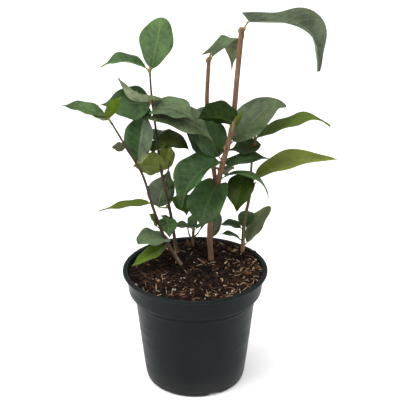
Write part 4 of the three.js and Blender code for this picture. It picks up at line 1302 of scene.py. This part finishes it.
class CamelliaStage(Operator):
    """Lay the floor and set up the camera and the soft light"""

    bl_idname = "camellia.stage"
    bl_label = "Stage, light and camera"

    def execute(self, context):
        kit = context.scene.camellia_stage
        across = np.linspace(-12, 12, 9)
        x, y = np.meshgrid(across, across, indexing="ij")
        here = (np.arange(8)[:, None] * 9 + np.arange(8)).ravel()
        plane = Gather()
        plane.add(np.stack([x, y, np.zeros_like(x)], -1).reshape(-1, 3),
                  [np.stack([here, here + 9, here + 10, here + 1], -1)])
        plane.build("studio_floor", [floor_material(kit.floor)])

        for name, (place, power) in LIGHTS.items():
            soft_light(name, place, getattr(kit, power))
        sun = bpy.data.lights.new("even_light", "SUN")
        sun.energy, sun.angle = kit.even, math.radians(80)
        even = bpy.data.objects.new("even_light", sun)
        even.rotation_euler = Vector((0.14, 0.2, -1.0)).to_track_quat("-Z", "Y").to_euler()
        context.scene.collection.objects.link(even)
        world = bpy.data.worlds.new("plain_sky")
        world.use_nodes = True
        back = world.node_tree.nodes["Background"]
        back.inputs["Color"].default_value = (1, 1, 1, 1)
        back.inputs["Strength"].default_value = kit.sky
        context.scene.world = world

        camera = bpy.data.objects.new("camera", bpy.data.cameras.new("camera"))
        camera.data.lens, camera.data.sensor_width = kit.lens, FILM
        camera.data.clip_start, camera.data.clip_end = 0.01, 50
        back_off = Vector((0, -math.cos(kit.elevation), math.sin(kit.elevation)))
        camera.location = AIM + back_off * kit.distance
        camera.rotation_euler = (-back_off).to_track_quat("-Z", "Y").to_euler()
        context.scene.collection.objects.link(camera)
        context.scene.camera = camera
        context.scene.view_settings.view_transform = "Standard"
        return {"FINISHED"}


STEPS = [CamelliaPot, CamelliaPeat, CamelliaLitter, CamelliaStems, CamelliaLeaves, CamelliaStalks,
         CamelliaStage]


class CamelliaPanel(Panel):
    """The sizes and colours, and a button for each piece"""

    bl_idname = "VIEW3D_PT_camellia"
    bl_label = "Potted camellia"
    bl_space_type = "VIEW_3D"
    bl_region_type = "UI"
    bl_category = "Camellia"

    def draw(self, context):
        scene = context.scene
        for group in (scene.camellia_pot, scene.camellia_plant, scene.camellia_stage):
            box = self.layout.box()
            for name in group.__annotations__:
                box.prop(group, name)
        for step in STEPS:
            self.layout.operator(step.bl_idname)


SETTINGS = {
    "camellia_pot": CamelliaPotSettings,
    "camellia_plant": CamelliaPlantSettings,
    "camellia_stage": CamelliaStageSettings,
}


def register():
    """Registers the classes and hangs the settings on the scene."""
    for group in (*SETTINGS.values(), *STEPS, CamelliaPanel):
        bpy.utils.register_class(group)
    for name, group in SETTINGS.items():
        setattr(bpy.types.Scene, name, PointerProperty(type=group))


def unregister():
    """Takes the settings and the classes away again."""
    for name in SETTINGS:
        delattr(bpy.types.Scene, name)
    for group in (CamelliaPanel, *reversed(STEPS), *SETTINGS.values()):
        bpy.utils.unregister_class(group)


def main():
    register()
    bpy.ops.camellia.pot()
    bpy.ops.camellia.peat()
    bpy.ops.camellia.litter()
    bpy.ops.camellia.stems()
    bpy.ops.camellia.leaves()
    bpy.ops.camellia.stalks()
    bpy.ops.camellia.stage()
    bpy.context.view_layer.update()


if __name__ == "__main__":
    main()
